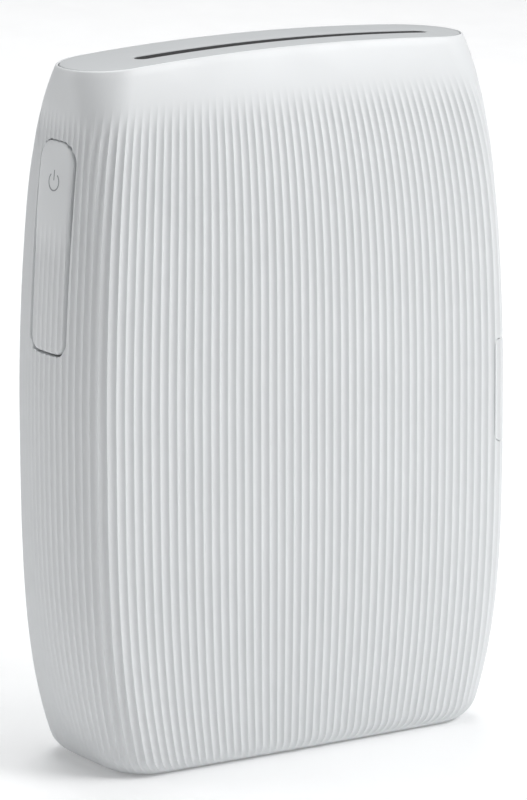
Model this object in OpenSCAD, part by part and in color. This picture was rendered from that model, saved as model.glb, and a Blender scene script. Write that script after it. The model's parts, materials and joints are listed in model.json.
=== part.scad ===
// Compact photo printer: a ribbed, barrel-shaped case that stands on its base.
// A film pack goes in behind the rear door, and prints leave through the slot in the cap.
// X runs to the right, Y to the back, Z up. The origin is the middle of the base.

/* [Body] */
// Width across the widest ribs
body_w = 90.3; // [88:0.1:96]
// Depth across the widest ribs
body_d = 35; // [34.5:0.1:38]
// Height to the middle of the arched top
body_h = 125; // [124:0.5:130]
// Wall of the casing shells
wall = 1.6; // [1.3:0.1:1.8]
// Drop of the top's ends below its middle
top_arch = 1.72; // [0.5:0.01:2]
// Radius of the rounded bottom edge
foot_r = 3.7; // [2.5:0.1:4.5]
// Number of ribs round the body, an even number
rib_count = 138; // [100:2:150]
// Depth of the ribs
rib_depth = 0.3; // [0.1:0.05:0.4]
// Distance below the top at which the ribs reach their full depth
rib_full_drop = 13; // [12:0.5:20]
// Distance below the top at which the ribs have faded out
rib_end_drop = 6.5; // [4:0.5:9]
// Gap along the seams between the casing pieces
seam = 0.15; // [0.1:0.05:0.25]
// Depth position of the seam between the front and rear shells
split_y = 7.5; // [7.2:0.1:8]

/* [Cap] */
// Length of the print slot
slot_l = 58; // [56.5:0.5:60]
// Width of the print slot
slot_w = 1.5; // [1.2:0.1:1.8]
// Thickness of the cap
cap_t = 1.5; // [1.2:0.1:2]
// Width of the casing rim that frames the cap
cap_rim = 0.4; // [0.3:0.05:0.6]

/* [Film pack] */
// Width of the film pack
pack_w = 57.4; // [56:0.1:57.8]
// Height of the film pack
pack_h = 91.5; // [89:0.5:92]
// Thickness of the film pack
pack_d = 15.1; // [14:0.1:15.2]
// Sideways place of the pack and slot in the body
film_x = 2.5; // [2:0.1:3]
// Depth position of the sheet's path and the slot
film_y = -2.5; // [-2.8:0.1:-2.2]

/* [Rear door] */
// Width of the door
door_w = 73.6; // [72:0.2:74]
// Height of the door's top edge
door_top_z = 104.8; // [104:0.1:105.5]
// Thickness of the door's skin
door_skin = 1.4; // [1.2:0.1:1.6]
// Depth position of the door's hinge axis
hinge_y = 12.2; // [12:0.1:12.4]
// Height of the door's hinge axis
hinge_z = 8.3; // [8:0.1:8.5]
// Diameter of the door's hinge pins
door_pin_d = 1.6; // [1.2:0.1:1.8]
// Travel of the door latch
latch_travel = 2.5; // [1.5:0.1:2.5]

/* [Power button] */
// Width of the button panel
button_w = 11.8; // [10:0.1:12]
// Height of the button panel
button_h = 36.8; // [35:0.1:37]
// Distance of the button panel's upper edge below the top
button_drop = 13.8; // [13.2:0.1:14.2]
// Depth position of the button panel's middle
button_y = -0.6; // [-1:0.1:0]
// How far the button's lower end lies below the body's surface
button_sink = 0.85; // [0.3:0.05:1]
// Diameter of the button's hinge pin
button_pin_d = 1.2; // [1:0.1:1.4]
// Gap round the button and the port cover
panel_gap = 0.25; // [0.2:0.05:0.35]

/* [Port cover] */
// Height of the port cover
port_h = 18.6; // [18:0.1:19]
// Distance of the port cover's middle below half the body's height
port_drop = 2.3; // [1.2:0.1:3.2]
// How far the cover wraps round to the front, from the widest ribs
port_wrap = 6.45; // [5.65:0.1:6.75]
// Diameter of the cover's hinge pin
port_pin_d = 0.8; // [0.6:0.1:0.9]

/* [Print engine] */
// Radius of the two spreading rollers
roller_r = 3.9; // [3.7:0.05:3.93]
// Distance of the rollers' axes below the top
roller_drop = 14; // [13.5:0.1:14.2]
// Diameter of the roller shafts
shaft_d = 3; // [2.4:0.1:3.2]
// Tooth size of the roller gears
roller_module = 0.5; // [0.48:0.01:0.5]
// Tooth size of the fast gears
fast_module = 0.4; // [0.38:0.01:0.4]
// Thickness of the gears
gear_t = 2.4; // [1.8:0.1:2.5]
// Diameter of the gear axles
axle_d = 1.5; // [1.2:0.1:1.6]
// Diameter of the drive motor
motor_d = 8.6; // [8:0.1:8.8]
// Length of the drive motor
motor_l = 17; // [14:0.5:18]
// Lift of the film pick
pick_travel = 4.5; // [3:0.1:5]

/* [Electronics] */
// Width of the battery
battery_w = 44; // [38:0.5:44.5]
// Height of the battery
battery_h = 49; // [40:0.5:50]
// Thickness of the battery
battery_t = 5.2; // [4.5:0.1:5.4]
// Thickness of the circuit boards
board_t = 1; // [0.8:0.1:1]
// Diameter of the screw thread
screw_d = 2; // [1.8:0.1:2]

/* [Hidden] */

// Taper of the barrel: how much half the width and half the depth lose at the top and the base
top_in_x = 5;
base_in_x = 7.2;
top_in_y = 8.2;
base_in_y = 2.2;
top_pow_x = 1.7;
base_pow_x = 3.4;
top_pow_y = 3.6;
base_pow_y = 3;
// Plan outline at mid-height and at the ends: half angle of the front arc and of the side arc, corner
mid_front_a = 7.3;
end_front_a = 0.7;
mid_side_a = 23.9;
end_side_a = 1;
mid_corner_r = 4.5;
end_corner_r = 9.1;

half_w = body_w / 2;
half_d = body_d / 2;
mid_z = body_h / 2;
rib_full_z = body_h - rib_full_drop;
rib_end_z = body_h - rib_end_drop;
roller_z = body_h - roller_drop;
button_z = body_h - button_drop - button_h;
port_mid_z = mid_z - port_drop;
port_z = port_mid_z - port_h / 2;
arch_x = 39;
arch_r = arch_x * arch_x / (2 * top_arch) + top_arch / 2;
big = 300;
fine = 0.01;
touch = 0.05;
run = 0.05;
free = 0.3;
screw_clear = 0.05;
rib_pts = [[0, 1], [0.5, 0]];
smooth_pts = 72;

// Outline rules

function blend(a, b, w) = a + (b - a) * w;
function rise(z) = abs(z - mid_z) / mid_z;
function half_x(z) = z > mid_z
    ? half_w - top_in_x * pow(rise(z), top_pow_x)
    : half_w - base_in_x * pow(rise(z), base_pow_x);
function half_y(z) = z > mid_z
    ? half_d - top_in_y * pow(rise(z), top_pow_y)
    : half_d - base_in_y * pow(rise(z), base_pow_y);
function fillet(h, r) = h >= r ? 0 : r - sqrt(max(r * r - (r - h) * (r - h), 0));
// Width, depth, corner radius, front angle and side angle of the outline at height z
function outline(z, inset = 0) =
    let (w = pow(rise(z), 3))
    [half_x(z) - inset, half_y(z) - inset, max(blend(mid_corner_r, end_corner_r, w) - inset, 0.4),
        blend(mid_front_a, end_front_a, w), blend(mid_side_a, end_side_a, w)];
// Radii of the front arc and the side arc that close the outline
function arcs(o) =
    let (
        e = 90 - o[4],
        u = o[0] - o[2] * (sin(e) - sin(o[3])),
        v = o[1] - o[2] * (cos(o[3]) - cos(e)),
        m = 1 - sin(e),
        n = 1 - cos(o[3]),
        det = sin(o[3]) * cos(e) - m * n
    )
    [(u * cos(e) - m * v) / det, (sin(o[3]) * v - n * u) / det];
// Point and heading at a fraction of the quarter outline, from the front middle to the side
function quarter(f, o) =
    let (
        r = arcs(o),
        a = o[3],
        e = 90 - o[4],
        c = o[2],
        turn = 180 / PI,
        l1 = r[0] * a / turn,
        l2 = c * (e - a) / turn,
        l3 = r[1] * o[4] / turn,
        s = f * (l1 + l2 + l3),
        h = s < l1 ? s / r[0] * turn
            : s < l1 + l2 ? a + (s - l1) / c * turn
            : e + (s - l1 - l2) / r[1] * turn,
        x = h <= a ? r[0] * sin(h)
            : h <= e ? r[0] * sin(a) + c * (sin(h) - sin(a))
            : r[0] * sin(a) + c * (sin(e) - sin(a)) + r[1] * (sin(h) - sin(e)),
        y = h <= a ? r[0] * (1 - cos(h))
            : h <= e ? r[0] * (1 - cos(a)) + c * (cos(a) - cos(h))
            : r[0] * (1 - cos(a)) + c * (cos(a) - cos(e)) + r[1] * (cos(e) - cos(h))
    )
    [x, y - o[1], h];
// Point at a fraction of the whole outline, moved inward along its normal
function around(g, o, inward) =
    let (
        k = floor(g * 4 + 0.000001),
        f = g * 4 - k,
        q = quarter(k % 2 == 0 ? f : 1 - f, o),
        x = q[0] - inward * sin(q[2]),
        y = q[1] + inward * cos(q[2])
    )
    k == 0 ? [x, y] : k == 1 ? [x, -y] : k == 2 ? [-x, -y] : [-x, y];
// How deep the ribs are cut at height z
function rib_fade(z) = min(1, max(0, (rib_end_z - z) / (rib_end_z - rib_full_z)))
    * min(1, z / foot_r);
// The rings bend down towards the ends of the top
function bent(p, z) = [p[0], p[1],
    z > mid_z ? z - top_arch * pow(p[0] / arch_x, 2) * pow(rise(z), 3) : z];
function ribbed_ring(z) =
    let (o = outline(z, fillet(z, foot_r)), d = rib_depth * rib_fade(z))
    [for (i = [0:rib_count - 1], p = rib_pts) bent(around((i + p[0]) / rib_count, o, d * p[1]), z)];
function smooth_ring(z, inset, floor_z, r) =
    let (o = outline(z, inset + fillet(z - floor_z, r)))
    [for (i = [0:smooth_pts - 1]) bent(around(i / smooth_pts, o, 0), z)];
// Side surface of the outline at a depth position
function side_x(y, z) =
    let (o = outline(z), r = arcs(o)[1])
    o[0] - r + sqrt(r * r - y * y);

// Heights of the rings, closer together where the barrel bends more
barrel_steps = 6;
function barrel_z(i, z1) = blend(foot_r, z1, (i / barrel_steps + (1 - cos(180 * i / barrel_steps)) / 2) / 2);
ribbed_levels = concat(
    [0, foot_r * 0.25],
    [for (i = [0:barrel_steps]) barrel_z(i, rib_full_z)],
    [rib_end_z, body_h]
);
inner_levels = concat(
    [wall, wall + foot_r * 0.15],
    [for (i = [0:barrel_steps]) barrel_z(i, rib_full_z)],
    [rib_end_z, body_h]
);

// Joins rings that mirror front to back into a closed solid
module loft(rings) {
    n = len(rings[0]);
    half = n / 2;
    top = (len(rings) - 1) * n;
    sides = [for (k = [0:len(rings) - 2], i = [0:n - 1])
        let (a = k * n + i, b = k * n + (i + 1) % n) each [[a, b + n, b], [a, a + n, b + n]]];
    ends = [for (i = [-floor(half / 2):floor(half / 2) - 1])
        let (a = (i + n) % n, b = (i + 1 + n) % n, c = (half - i - 1 + n) % n, d = (half - i + n) % n)
        each [if (a != d) [a, b, d], if (b != c) [b, c, d]]];
    caps = concat(ends, [for (t = ends) [t[0] + top, t[2] + top, t[1] + top]]);
    polyhedron([for (r = rings) each r], concat(sides, caps), convexity = 6);
}

module ribbed_body() {
    loft([for (z = ribbed_levels) ribbed_ring(z)]);
}

module smooth_body(inset) {
    loft([for (z = inner_levels) smooth_ring(z, inset, wall, foot_r - wall)]);
}

// A freeform shell is one facet mesh
module one_mesh() {
    resize([0, 0, 0]) children();
}

// Box from its lowest to its highest corner
module box(a, b) {
    translate(a) cube(b - a);
}

// Round bar along an axis between two places
module bar_x(d, x0, x1, y, z, fn = 48) {
    translate([x0, y, z]) rotate([0, 90, 0]) cylinder(d = d, h = x1 - x0, $fn = fn);
}
module bar_y(d, x, y0, y1, z, fn = 48) {
    translate([x, y0, z]) rotate([-90, 0, 0]) cylinder(d = d, h = y1 - y0, $fn = fn);
}
module bar_z(d, x, y, z0, z1, fn = 48) {
    translate([x, y, z0]) cylinder(d = d, h = z1 - z0, $fn = fn);
}

// Everything above the arched top lowered by a drop
module above_arch(drop) {
    difference() {
        box([-big, -big, body_h - 20], [big, big, body_h + 20]);
        translate([0, big / 2, body_h - drop - arch_r]) rotate([90, 0, 0])
            cylinder(r = arch_r, h = big, $fn = 720);
    }
}

// Upright prism of the top's outline
module top_prism(inset, z0, z1) {
    o = outline(body_h, inset);
    translate([0, 0, z0]) linear_extrude(z1 - z0)
        polygon([for (i = [0:119]) around(i / 120, o, 0)]);
}

// Places that several pieces share

pack_gap = 0.4;
chassis_t = 1.8;
plate_t = 1;
flange_t = 1;
chamber_x0 = film_x - pack_w / 2 - pack_gap;
chamber_x1 = film_x + pack_w / 2 + pack_gap;
wall_x0 = chamber_x0 - chassis_t;
wall_x1 = chamber_x1 + chassis_t;
plate_y1 = film_y - 1.5;
plate_y0 = plate_y1 - plate_t;
flange_y0 = plate_y1 + pack_d + 0.6;
flange_y1 = flange_y0 + flange_t;
floor_z0 = 9.8;
floor_z1 = 12.4;
chamber_z1 = floor_z1 + pack_h + 0.5;
wall_top_z = roller_z + 5;
wall_front_y = 4.5 - half_d;
collar_gap = 0.1;
collar_t = 1;
collar_h = 5.5;
chute_t = 1.2;

door_gap = 0.3;
frame_z0 = floor_z0 + 0.4;
frame_z1 = door_top_z + 2;
frame_bar = 1.3;
door_half = door_w / 2;
door_inner_y = flange_y1 + 0.1;
knuckle_r = 2;
swing_r = half_y(hinge_z) - hinge_y;
lip_z = hinge_z - (half_y(hinge_z + 4) - hinge_y) - door_gap;
ear_x = [12, 14];
lug_x = [ear_x[1] + free, 19.3];
ear_far_x = [lug_x[1] + free, lug_x[1] + free + 2];

head_z1 = roller_z - roller_r - 0.7;
head_z0 = head_z1 - 11.4;

screw_long = 4.8;
screw_short = 2.4;
head_d = 3.5;
head_t = 0.9;

roller_teeth = 16;
idler_teeth = 20;
second_small = 12;
second_large = 40;
first_small = 10;
first_large = 29;
pinion_teeth = 10;
pick_teeth = 24;
sector_teeth = 20;

nip = roller_teeth * roller_module / 2;
layer_a = wall_x0 - 0.4 - gear_t;
layer_b = layer_a - free - gear_t;
plate_x1 = layer_b - free;
plate_x0 = plate_x1 - 1.4;
bracket_x1 = plate_x0 - 0.6;
bracket_x0 = bracket_x1 - 1.2;

function spread(na, nb, m) = (na + nb) * m / 2;
function drop(d, dy) = sqrt(d * d - dy * dy);
front_at = [film_y - nip, roller_z];
rear_at = [film_y + nip, roller_z];
idler_at = [front_at[0], front_at[1] - spread(roller_teeth, idler_teeth, roller_module)];
second_dy = 3.1;
second_at = [idler_at[0] + second_dy,
    idler_at[1] - drop(spread(idler_teeth, second_small, roller_module), second_dy)];
first_dy = -2.4;
first_at = [second_at[0] + first_dy,
    second_at[1] - drop(spread(second_large, first_small, fast_module), first_dy)];
motor_y = plate_y0 - 0.2 - motor_d / 2;
motor_at = [motor_y,
    first_at[1] - drop(spread(first_large, pinion_teeth, fast_module), first_at[0] - motor_y)];
pick_dy = 6.1;
pick_at = [first_at[0] + pick_dy,
    first_at[1] - drop(spread(first_large, pick_teeth, fast_module), pick_dy)];

// Turn of a gear so that its gaps meet the teeth of the gear it meshes with
function heading(a, b) = atan2(b[1] - a[1], b[0] - a[0]);
function meshed(turn, na, nb, dir) = dir + 180 - (0.5 - (dir - turn) * na / 360) * 360 / nb;
front_turn = 0;
rear_turn = meshed(front_turn, roller_teeth, roller_teeth, heading(front_at, rear_at));
idler_turn = meshed(front_turn, roller_teeth, idler_teeth, heading(front_at, idler_at));
second_turn = meshed(idler_turn, idler_teeth, second_small, heading(idler_at, second_at));
first_turn = meshed(second_turn, second_large, first_small, heading(second_at, first_at));
pinion_turn = meshed(first_turn, first_large, pinion_teeth, heading(first_at, motor_at));
pick_turn = meshed(first_turn, first_large, pick_teeth, heading(first_at, pick_at));

button_pin_z = button_z + 3.2;
button_x = -(half_x(button_pin_z) - 4.5);
icon_z = button_z + 29.6;
lug_r = 1.3;
button_t = 1.4;
button_inset = 0.15;
button_top_r = 4;
button_low_r = 2.6;
button_cut_x = bracket_x0 + 1.4;
lug_w = 2;
button_nub_d = 3;
switch_t = 1.5;
plunger_d = 1.8;
plunger_out = 0.75;
switch_x1 = bracket_x0 - board_t;
switch_x0 = switch_x1 - switch_t;
ear_in = 4.3;
ear_out = 5.6;

port_axis = [half_w - 1.25, 3.9];
port_front_x = half_w - port_wrap;
port_swing = side_x(port_axis[1], port_mid_z) - port_axis[0];
port_rear_y = port_axis[1] + port_swing + 0.3;
cover_skin = 1.4;
cover_top_r = 1.2;
cover_low_r = 2.2;
bezel_x0 = half_w - 5.75;
bezel_x1 = bezel_x0 + 1.3;
bezel_y = [-11.4, port_axis[1] + 0.9];
port_lug_h = 6.4;
port_ear_h = 2.7;
port_knuckle_r = 0.9;
usb_y = -9.3;
usb_t = 2.6;
usb_w = 7.6;
usb_z = port_z + 6.6;
reset_z = port_z + 15.1;
reset_d = 1.8;
reset_travel = 0.4;
reset_seat_x = bezel_x0 - 1.1;
board_y1 = usb_y - usb_t / 2;
board_y0 = board_y1 - board_t;
main_x = [-24, 33];
main_z = [12, 70];
tab_x = bezel_x0 - 1;
battery_x0 = -18.6;
battery_z0 = 13.5;
board_holes = [[-21.5, 17], [-21.5, 65], [29.5, 17], [29.5, 64]];
chassis_lugs = [[-32.2, 15.5], [-32.2, 56.5], [36, 15.5], [36, 87.5]];
lug_y0 = plate_y0 - 1.4;
lug_reach = 2.4;
lug_half_h = 3.5;
lug_boss_d = 5;
board_boss_d = 4.4;
screw_room = screw_d + 0.3;
screw_hole = screw_d + 2 * screw_clear;
rear_posts = [[-31.4, 30], [-30.6, 91.5], [33.6, 30], [33.6, 74]];
gear_posts = [[8.4, roller_z - 10], [8.8, roller_z - 31], [-9.6, roller_z - 40.4]];
post_y0 = 6.7;
post_half_h = 2.6;
post_d = 4;
bracket_screws = [[button_y, button_z - 4.9], [button_y, roller_z - 0.7]];
seat = 0.05;
press = 0.02;
bush_d = 5.4;
motor_nose_d = 4;
slide_y = [film_y - 2.1, film_y + 1.5];
slide_x = [wall_x0 - 1.7, wall_x0 - 0.4];
sector_tip = (sector_teeth / 2 + 0.9) * fast_module;
rack_tip_y = pick_at[0] + sector_tip + 0.15;
rack_y = [rack_tip_y + 0.8, rack_tip_y + 1.8];
rack_teeth = 8;
rack_z = [round(pick_at[1]) - 15, round(pick_at[1]) + 8];
spring_z = [25, 39];
spring_x = slide_x[0] - 2.2;
rack_pitch = PI * fast_module;
gear_low_z = pick_at[1] - 10;
foot_half = 0.7;
foot_room = 0.4;
encoder_r = 4;
encoder_x = [wall_x1 + 0.8, wall_x1 + 1.3];
sensor_h = 5.2;
sensor_z = [roller_z - encoder_r + 1.2 - sensor_h, roller_z - encoder_r + 1.2];
lens_half = 27.5;
lens_y0 = plate_y1 - 1.6;
lens_z = [head_z1 - 1.85, head_z1 - 0.45];
head_step_z = head_z1 - 2.4;
seal_t = 0.35;
seal_z = [wall_top_z + 0.8, wall_top_z + 3.8];

liner_z = [floor_z1 - 0.8, chamber_z1 - 0.4];
liner_x = [chamber_x0 + free, chamber_x1 - free];
stakes = [for (x = [-22, 22], z = [30, 85]) [film_x + x, z]];
stake_d = 1.8;
stake_boss_d = 3.4;
leaf_x = [film_x - 14, film_x + 14];
leaf_z = [36, 79];
leaf_w = 4;
leaf_t = 0.25;
leaf_rise = 0.65;
latch_y = [door_inner_y + 0.1, door_inner_y + 1];
latch_z = [door_top_z - 9.8, door_top_z - 1.2];
latch_half = 9;
latch_post_z = [latch_z[0] - 7.8, latch_z[0] - 6.3];
tongue_half = 6;
recess_y = [latch_y[1] + free, latch_y[1] + free + 1];
recess_z = [latch_z[0] - latch_travel, latch_z[1] - 0.3];
neck_half = 3;
neck_z = [latch_z[0] + 2, latch_z[0] + 6];
pad_z = [recess_z[0] + latch_travel + 0.5, recess_z[1] - 0.6];
door_rim = 1;

// Spur gear outline with straight flanks
module gear_outline(n, m, turn, first = 0, last = -1) {
    r = n * m / 2;
    slack = 0.11 * m;
    tip = r + 0.9 * m;
    root = r - 1.15 * m;
    half_tip = (PI * m / 4 - 0.33 * m - slack) / tip * 180 / PI;
    half_root = (PI * m / 4 + 0.36 * m - slack) / root * 180 / PI;
    stop = last < 0 ? n - 1 : last;
    teeth = [for (i = [0:n - 1]) let (a = turn + i * 360 / n)
        each (i < first || i > stop ? [[root, a - half_root], [root, a], [root, a + half_root]]
            : [[root, a - half_root], [tip, a - half_tip], [tip, a + half_tip], [root, a + half_root]])];
    polygon([for (p = teeth) p[0] * [cos(p[1]), sin(p[1])]]);
}

// Puts a flat outline across the body: its own axes become Y and Z, and its thickness runs along X
module across(x0, t) {
    translate([x0, 0, 0]) rotate([90, 0, 90]) linear_extrude(t) children();
}

module gear(at, n, m, turn, x0, t = gear_t) {
    translate([0, at[0], at[1]]) across(x0, t) gear_outline(n, m, turn);
}

// Screw along an axis: its thread starts under the head
module screw(len) {
    cylinder(d = screw_d, h = len, $fn = 32);
    difference() {
        translate([0, 0, -head_t]) cylinder(d = head_d, h = head_t, $fn = 40);
        translate([0, 0, -head_t - fine]) cylinder(d = 1.6, h = 0.6, $fn = 6);
    }
}

module rounded_slab(w, h, r, t) {
    linear_extrude(t) union() {
        square([w - 2 * r, h], center = true);
        square([w, h - 2 * r], center = true);
        for (x = [-1, 1], y = [-1, 1]) translate([x * (w / 2 - r), y * (h / 2 - r)]) circle(r, $fn = 48);
    }
}

// Casing

module casing_skin() {
    difference() {
        ribbed_body();
        smooth_body(wall);
    }
}

module cap_pocket() {
    intersection() {
        top_prism(cap_rim, body_h - 20, body_h + 5);
        above_arch(cap_t + touch);
    }
}

module button_prism(grow, x0, x1) {
    hull() for (s = [-1, 1], z = [0, 1]) {
        r = (z == 0 ? button_low_r : button_top_r) + grow;
        zc = z == 0 ? button_z - grow + r : button_z + button_h + grow - r;
        bar_x(2 * r, x0, x1, button_y + s * (button_w / 2 + grow - r), zc, 40);
    }
}

module port_corner(z, r, up, grow) {
    bar_y(2 * r, port_front_x - grow + r, -half_d - 1, half_d, z + up * r, 32);
}

// Prism of the port cover's place, with rounded front corners
module port_prism(grow, rear) {
    z0 = port_z - grow;
    z1 = port_z + port_h + grow;
    intersection() {
        box([port_front_x - grow, -half_d - 1, z0], [big, rear, z1]);
        hull() {
            port_corner(z0, cover_low_r + grow, 1, grow);
            port_corner(z1, cover_top_r + grow, -1, grow);
            box([half_w, -half_d - 1, z0], [big, half_d, z1]);
        }
    }
}

module front_shell() color("whitesmoke") one_mesh() difference() {
    union() {
        intersection() {
            casing_skin();
            box([-big, -big, -fine], [big, split_y, big]);
        }
        intersection() {
            smooth_body(wall / 2);
            union() {
                for (p = chassis_lugs) bar_y(lug_boss_d, p[0], -half_d, lug_y0 - seat, p[1], 24);
                for (p = board_holes) bar_y(board_boss_d, p[0], -half_d, board_y0 - seat, p[1], 24);
            }
        }
    }
    cap_pocket();
    button_prism(panel_gap, -big, button_cut_x);
    port_prism(panel_gap, port_rear_y);
    for (p = chassis_lugs) bar_y(screw_hole, p[0], plate_y0 - screw_long - free, 0, p[1], 16);
    for (p = board_holes) bar_y(screw_hole, p[0], board_y1 - screw_short - free, 0, p[1], 16);
}

// The side of the rear door's frame reaches out to the casing
module side_frame(side) {
    x0 = door_half + door_gap;
    box([side > 0 ? x0 : -half_w, flange_y0, frame_z0], [side > 0 ? half_w : -x0, big, frame_z1]);
}

module rear_shell() color("whitesmoke") one_mesh() difference() {
    union() {
        intersection() {
            casing_skin();
            box([-big, split_y + seam, -fine], [big, big, big]);
        }
        intersection() {
            smooth_body(wall / 2);
            difference() {
                union() {
                    box([-big, flange_y0, frame_z0], [big, flange_y1, frame_z1]);
                    for (s = [-1, 1]) side_frame(s);
                    box([-door_half - wall, flange_y0, door_top_z + door_gap],
                        [door_half + wall, big, door_top_z + door_gap + frame_bar]);
                }
                box([chamber_x0, -big, -fine], [chamber_x1, big, chamber_z1]);
            }
        }
    }
    box([chamber_x0, flange_y0 - 1, floor_z0 - fine], [chamber_x1, flange_y1 + fine, chamber_z1]);
    box([-door_half - door_gap, flange_y1, lip_z], [door_half + door_gap, big, door_top_z + door_gap]);
    box([-door_half - door_gap, 10, lip_z], [door_half + door_gap, big, floor_z0]);
    cap_pocket();
    port_prism(panel_gap, port_rear_y);
    for (p = rear_posts) bar_y(screw_room, p[0], flange_y0 - 1, flange_y1 + 1, p[1], 16);
}

module slot_hole(grow, z0, z1) {
    r = slot_w / 2 + grow;
    straight = (slot_l - slot_w) / 2;
    for (s = [-1, 1]) bar_z(2 * r, film_x + s * straight, film_y, z0, z1, 32);
    box([film_x - straight, film_y - r, z0], [film_x + straight, film_y + r, z1]);
}

module top_cap() color([0.8, 0.81, 0.82]) difference() {
    union() {
        difference() {
            top_prism(cap_rim + seam, body_h - collar_h, body_h + 5);
            above_arch(0);
            translate([0, big / 2, body_h - cap_t - arch_r]) rotate([90, 0, 0])
                cylinder(r = arch_r, h = big, $fn = 720);
        }
        difference() {
            union() {
                difference() {
                    top_prism(wall + collar_gap, body_h - collar_h, body_h);
                    top_prism(wall + collar_gap + collar_t, body_h - collar_h - 1, body_h + 1);
                }
                slot_hole(chute_t, wall_top_z + 0.4, body_h);
            }
            above_arch(cap_t / 2);
        }
    }
    slot_hole(0, wall_top_z - 1, body_h + 5);
}

module slot_seals() color("dimgray") for (s = [-1, 1]) {
    y = film_y + s * ((slot_w - seal_t) / 2 - fine);
    half = slot_l / 2 - slot_w;
    box([film_x - half, y - seal_t / 2, seal_z[0]], [film_x + half, y + seal_t / 2, seal_z[1]]);
}

// Chassis and print engine

module wall_profile(x0, forward_z, front_in) {
    across(x0, chassis_t) polygon([
        [plate_y0, floor_z0], [plate_y0, forward_z], [front_in + 0.8, forward_z + 1],
        [front_in, forward_z + 6], [front_in, max(roller_z - 18, forward_z + 6)],
        [front_in + 1.1, roller_z - 11], [front_in + 1.7, roller_z - 3], [front_in + 3, wall_top_z],
        [flange_y0 - 3.1, wall_top_z], [flange_y0 - 1.3, roller_z - 3],
        [flange_y0 - seat, roller_z - 8], [flange_y0 - seat, floor_z0]
    ]);
}

module chassis() color([0.16, 0.16, 0.17]) difference() {
    union() {
        wall_profile(wall_x0, roller_z - 44, wall_front_y);
        wall_profile(chamber_x1, roller_z - 24, wall_front_y + 0.7);
        box([wall_x0, plate_y0, floor_z0], [wall_x1, plate_y1, head_z0 - 0.2]);
        box([wall_x0, plate_y0, floor_z0], [wall_x1, flange_y0 - 0.6, floor_z1]);
        for (p = chassis_lugs) box(
            [p[0] < 0 ? p[0] - lug_reach : wall_x1 - 1, lug_y0, p[1] - lug_half_h],
            [p[0] < 0 ? wall_x0 + 1 : p[0] + lug_reach, plate_y0, p[1] + lug_half_h]);
        for (p = rear_posts) box(
            [p[0] < 0 ? p[0] - lug_reach : wall_x1 - 1, post_y0, p[1] - post_half_h],
            [p[0] < 0 ? wall_x0 + 1 : p[0] + 2, flange_y0 - seat, p[1] + post_half_h]);
        for (p = gear_posts) bar_x(post_d, plate_x1, wall_x0 + 0.5, p[0], p[1]);
        for (s = [-1, 1], e = [ear_x, ear_far_x]) hinge_ear(s * e[0], s * e[1]);
        for (z = [22, 48]) slide_guide(z);
        box([spring_x - 1.2, film_y - 1.2, spring_z[0] - 1.5], [slide_x[0] - 1, film_y + 1.2, spring_z[0]]);
    }
    // Pick opening through the left wall and the floor
    room = foot_half + foot_room;
    box([wall_x0 - 1, film_y - room, floor_z0 + 1.5], [chamber_x0 + 6, film_y + room, floor_z1 + 0.4]);
    box([wall_x0 - 1, film_y - room, floor_z0 + 1.5],
        [chamber_x0 + fine, film_y + room, floor_z1 + pick_travel + 0.6]);
    for (at = [front_at, rear_at], x = [wall_x0, chamber_x1])
        bar_x(bush_d + 2 * press, x - 1, x + chassis_t + 1, at[0], at[1]);
    for (at = [idler_at, second_at, first_at, pick_at])
        bar_x(axle_d + 2 * press, wall_x0 - 1, chamber_x0 + 1, at[0], at[1]);
    bar_x(motor_nose_d + 2 * run, wall_x0 - 1, chamber_x0 + 1, motor_at[0], motor_at[1]);
    for (p = gear_posts) bar_x(screw_hole, plate_x1 - 1, plate_x1 + 4, p[0], p[1], 32);
    for (p = chassis_lugs) bar_y(screw_room, p[0], lug_y0 - 1, plate_y0 + 1, p[1], 32);
    for (p = rear_posts) bar_y(screw_hole, p[0], flange_y1 - screw_long - free, flange_y0 + 1, p[1], 32);
    for (s = [-1, 1]) hinge_bar(s, door_pin_d + 2 * press, ear_x[0] - 1, ear_far_x[1] + 1);
    for (s = [-1, 1]) hinge_bar(s, 2 * (knuckle_r + free), ear_x[1], ear_far_x[0]);
}

// Round bar on the door's hinge axis, on the left or the right side
module hinge_bar(side, d, x0, x1) {
    bar_x(d, side > 0 ? x0 : -x1, side > 0 ? x1 : -x0, hinge_y, hinge_z);
}

module hinge_ear(xa, xb) {
    x0 = min(xa, xb);
    x1 = max(xa, xb);
    bar_x(2 * knuckle_r, x0, x1, hinge_y, hinge_z);
    across(x0, x1 - x0) polygon([
        [5, floor_z0 + 1], [5, hinge_z + 0.45], [hinge_y - knuckle_r, hinge_z + 0.45],
        [hinge_y, hinge_z], [hinge_y - 0.9, hinge_z + 1.78], [9.8, floor_z0 + 1]
    ]);
}

module slide_guide(z) {
    for (s = [0, 1]) {
        y = s == 0 ? slide_y[0] - 1.3 : slide_y[1] + free;
        box([slide_x[0] - 1.3, y, z], [wall_x0 + 0.5, y + 1, z + 3]);
    }
    box([slide_x[0] - 1.3, slide_y[0] - 1.3, z], [slide_x[0] - free, slide_y[1] + 1.3, z + 3]);
}

module gear_plate() color("gainsboro") difference() {
    across(plate_x0, plate_x1 - plate_x0) polygon([
        [wall_front_y + 0.8, roller_z - 43], [wall_front_y + 0.6, roller_z - 19],
        [wall_front_y + 2, roller_z - 7], [wall_front_y + 4.4, wall_top_z - 0.6],
        [flange_y0 - 6.5, wall_top_z - 0.6], [flange_y0 - 0.9, roller_z - 5],
        [flange_y0 - 0.9, pick_at[1]], [pick_at[0] + 3.7, gear_low_z], [motor_at[0] + 1.5, gear_low_z]
    ]);
    for (at = [second_at, first_at, pick_at])
        bar_x(axle_d + 2 * press, plate_x0 - 1, plate_x1 + 1, at[0], at[1]);
    for (p = gear_posts) bar_x(screw_room, plate_x0 - 1, plate_x1 + 1, p[0], p[1], 32);
    for (p = bracket_screws) bar_x(screw_hole, plate_x0 - 1, plate_x1 + 1, p[0], p[1], 32);
}

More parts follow.
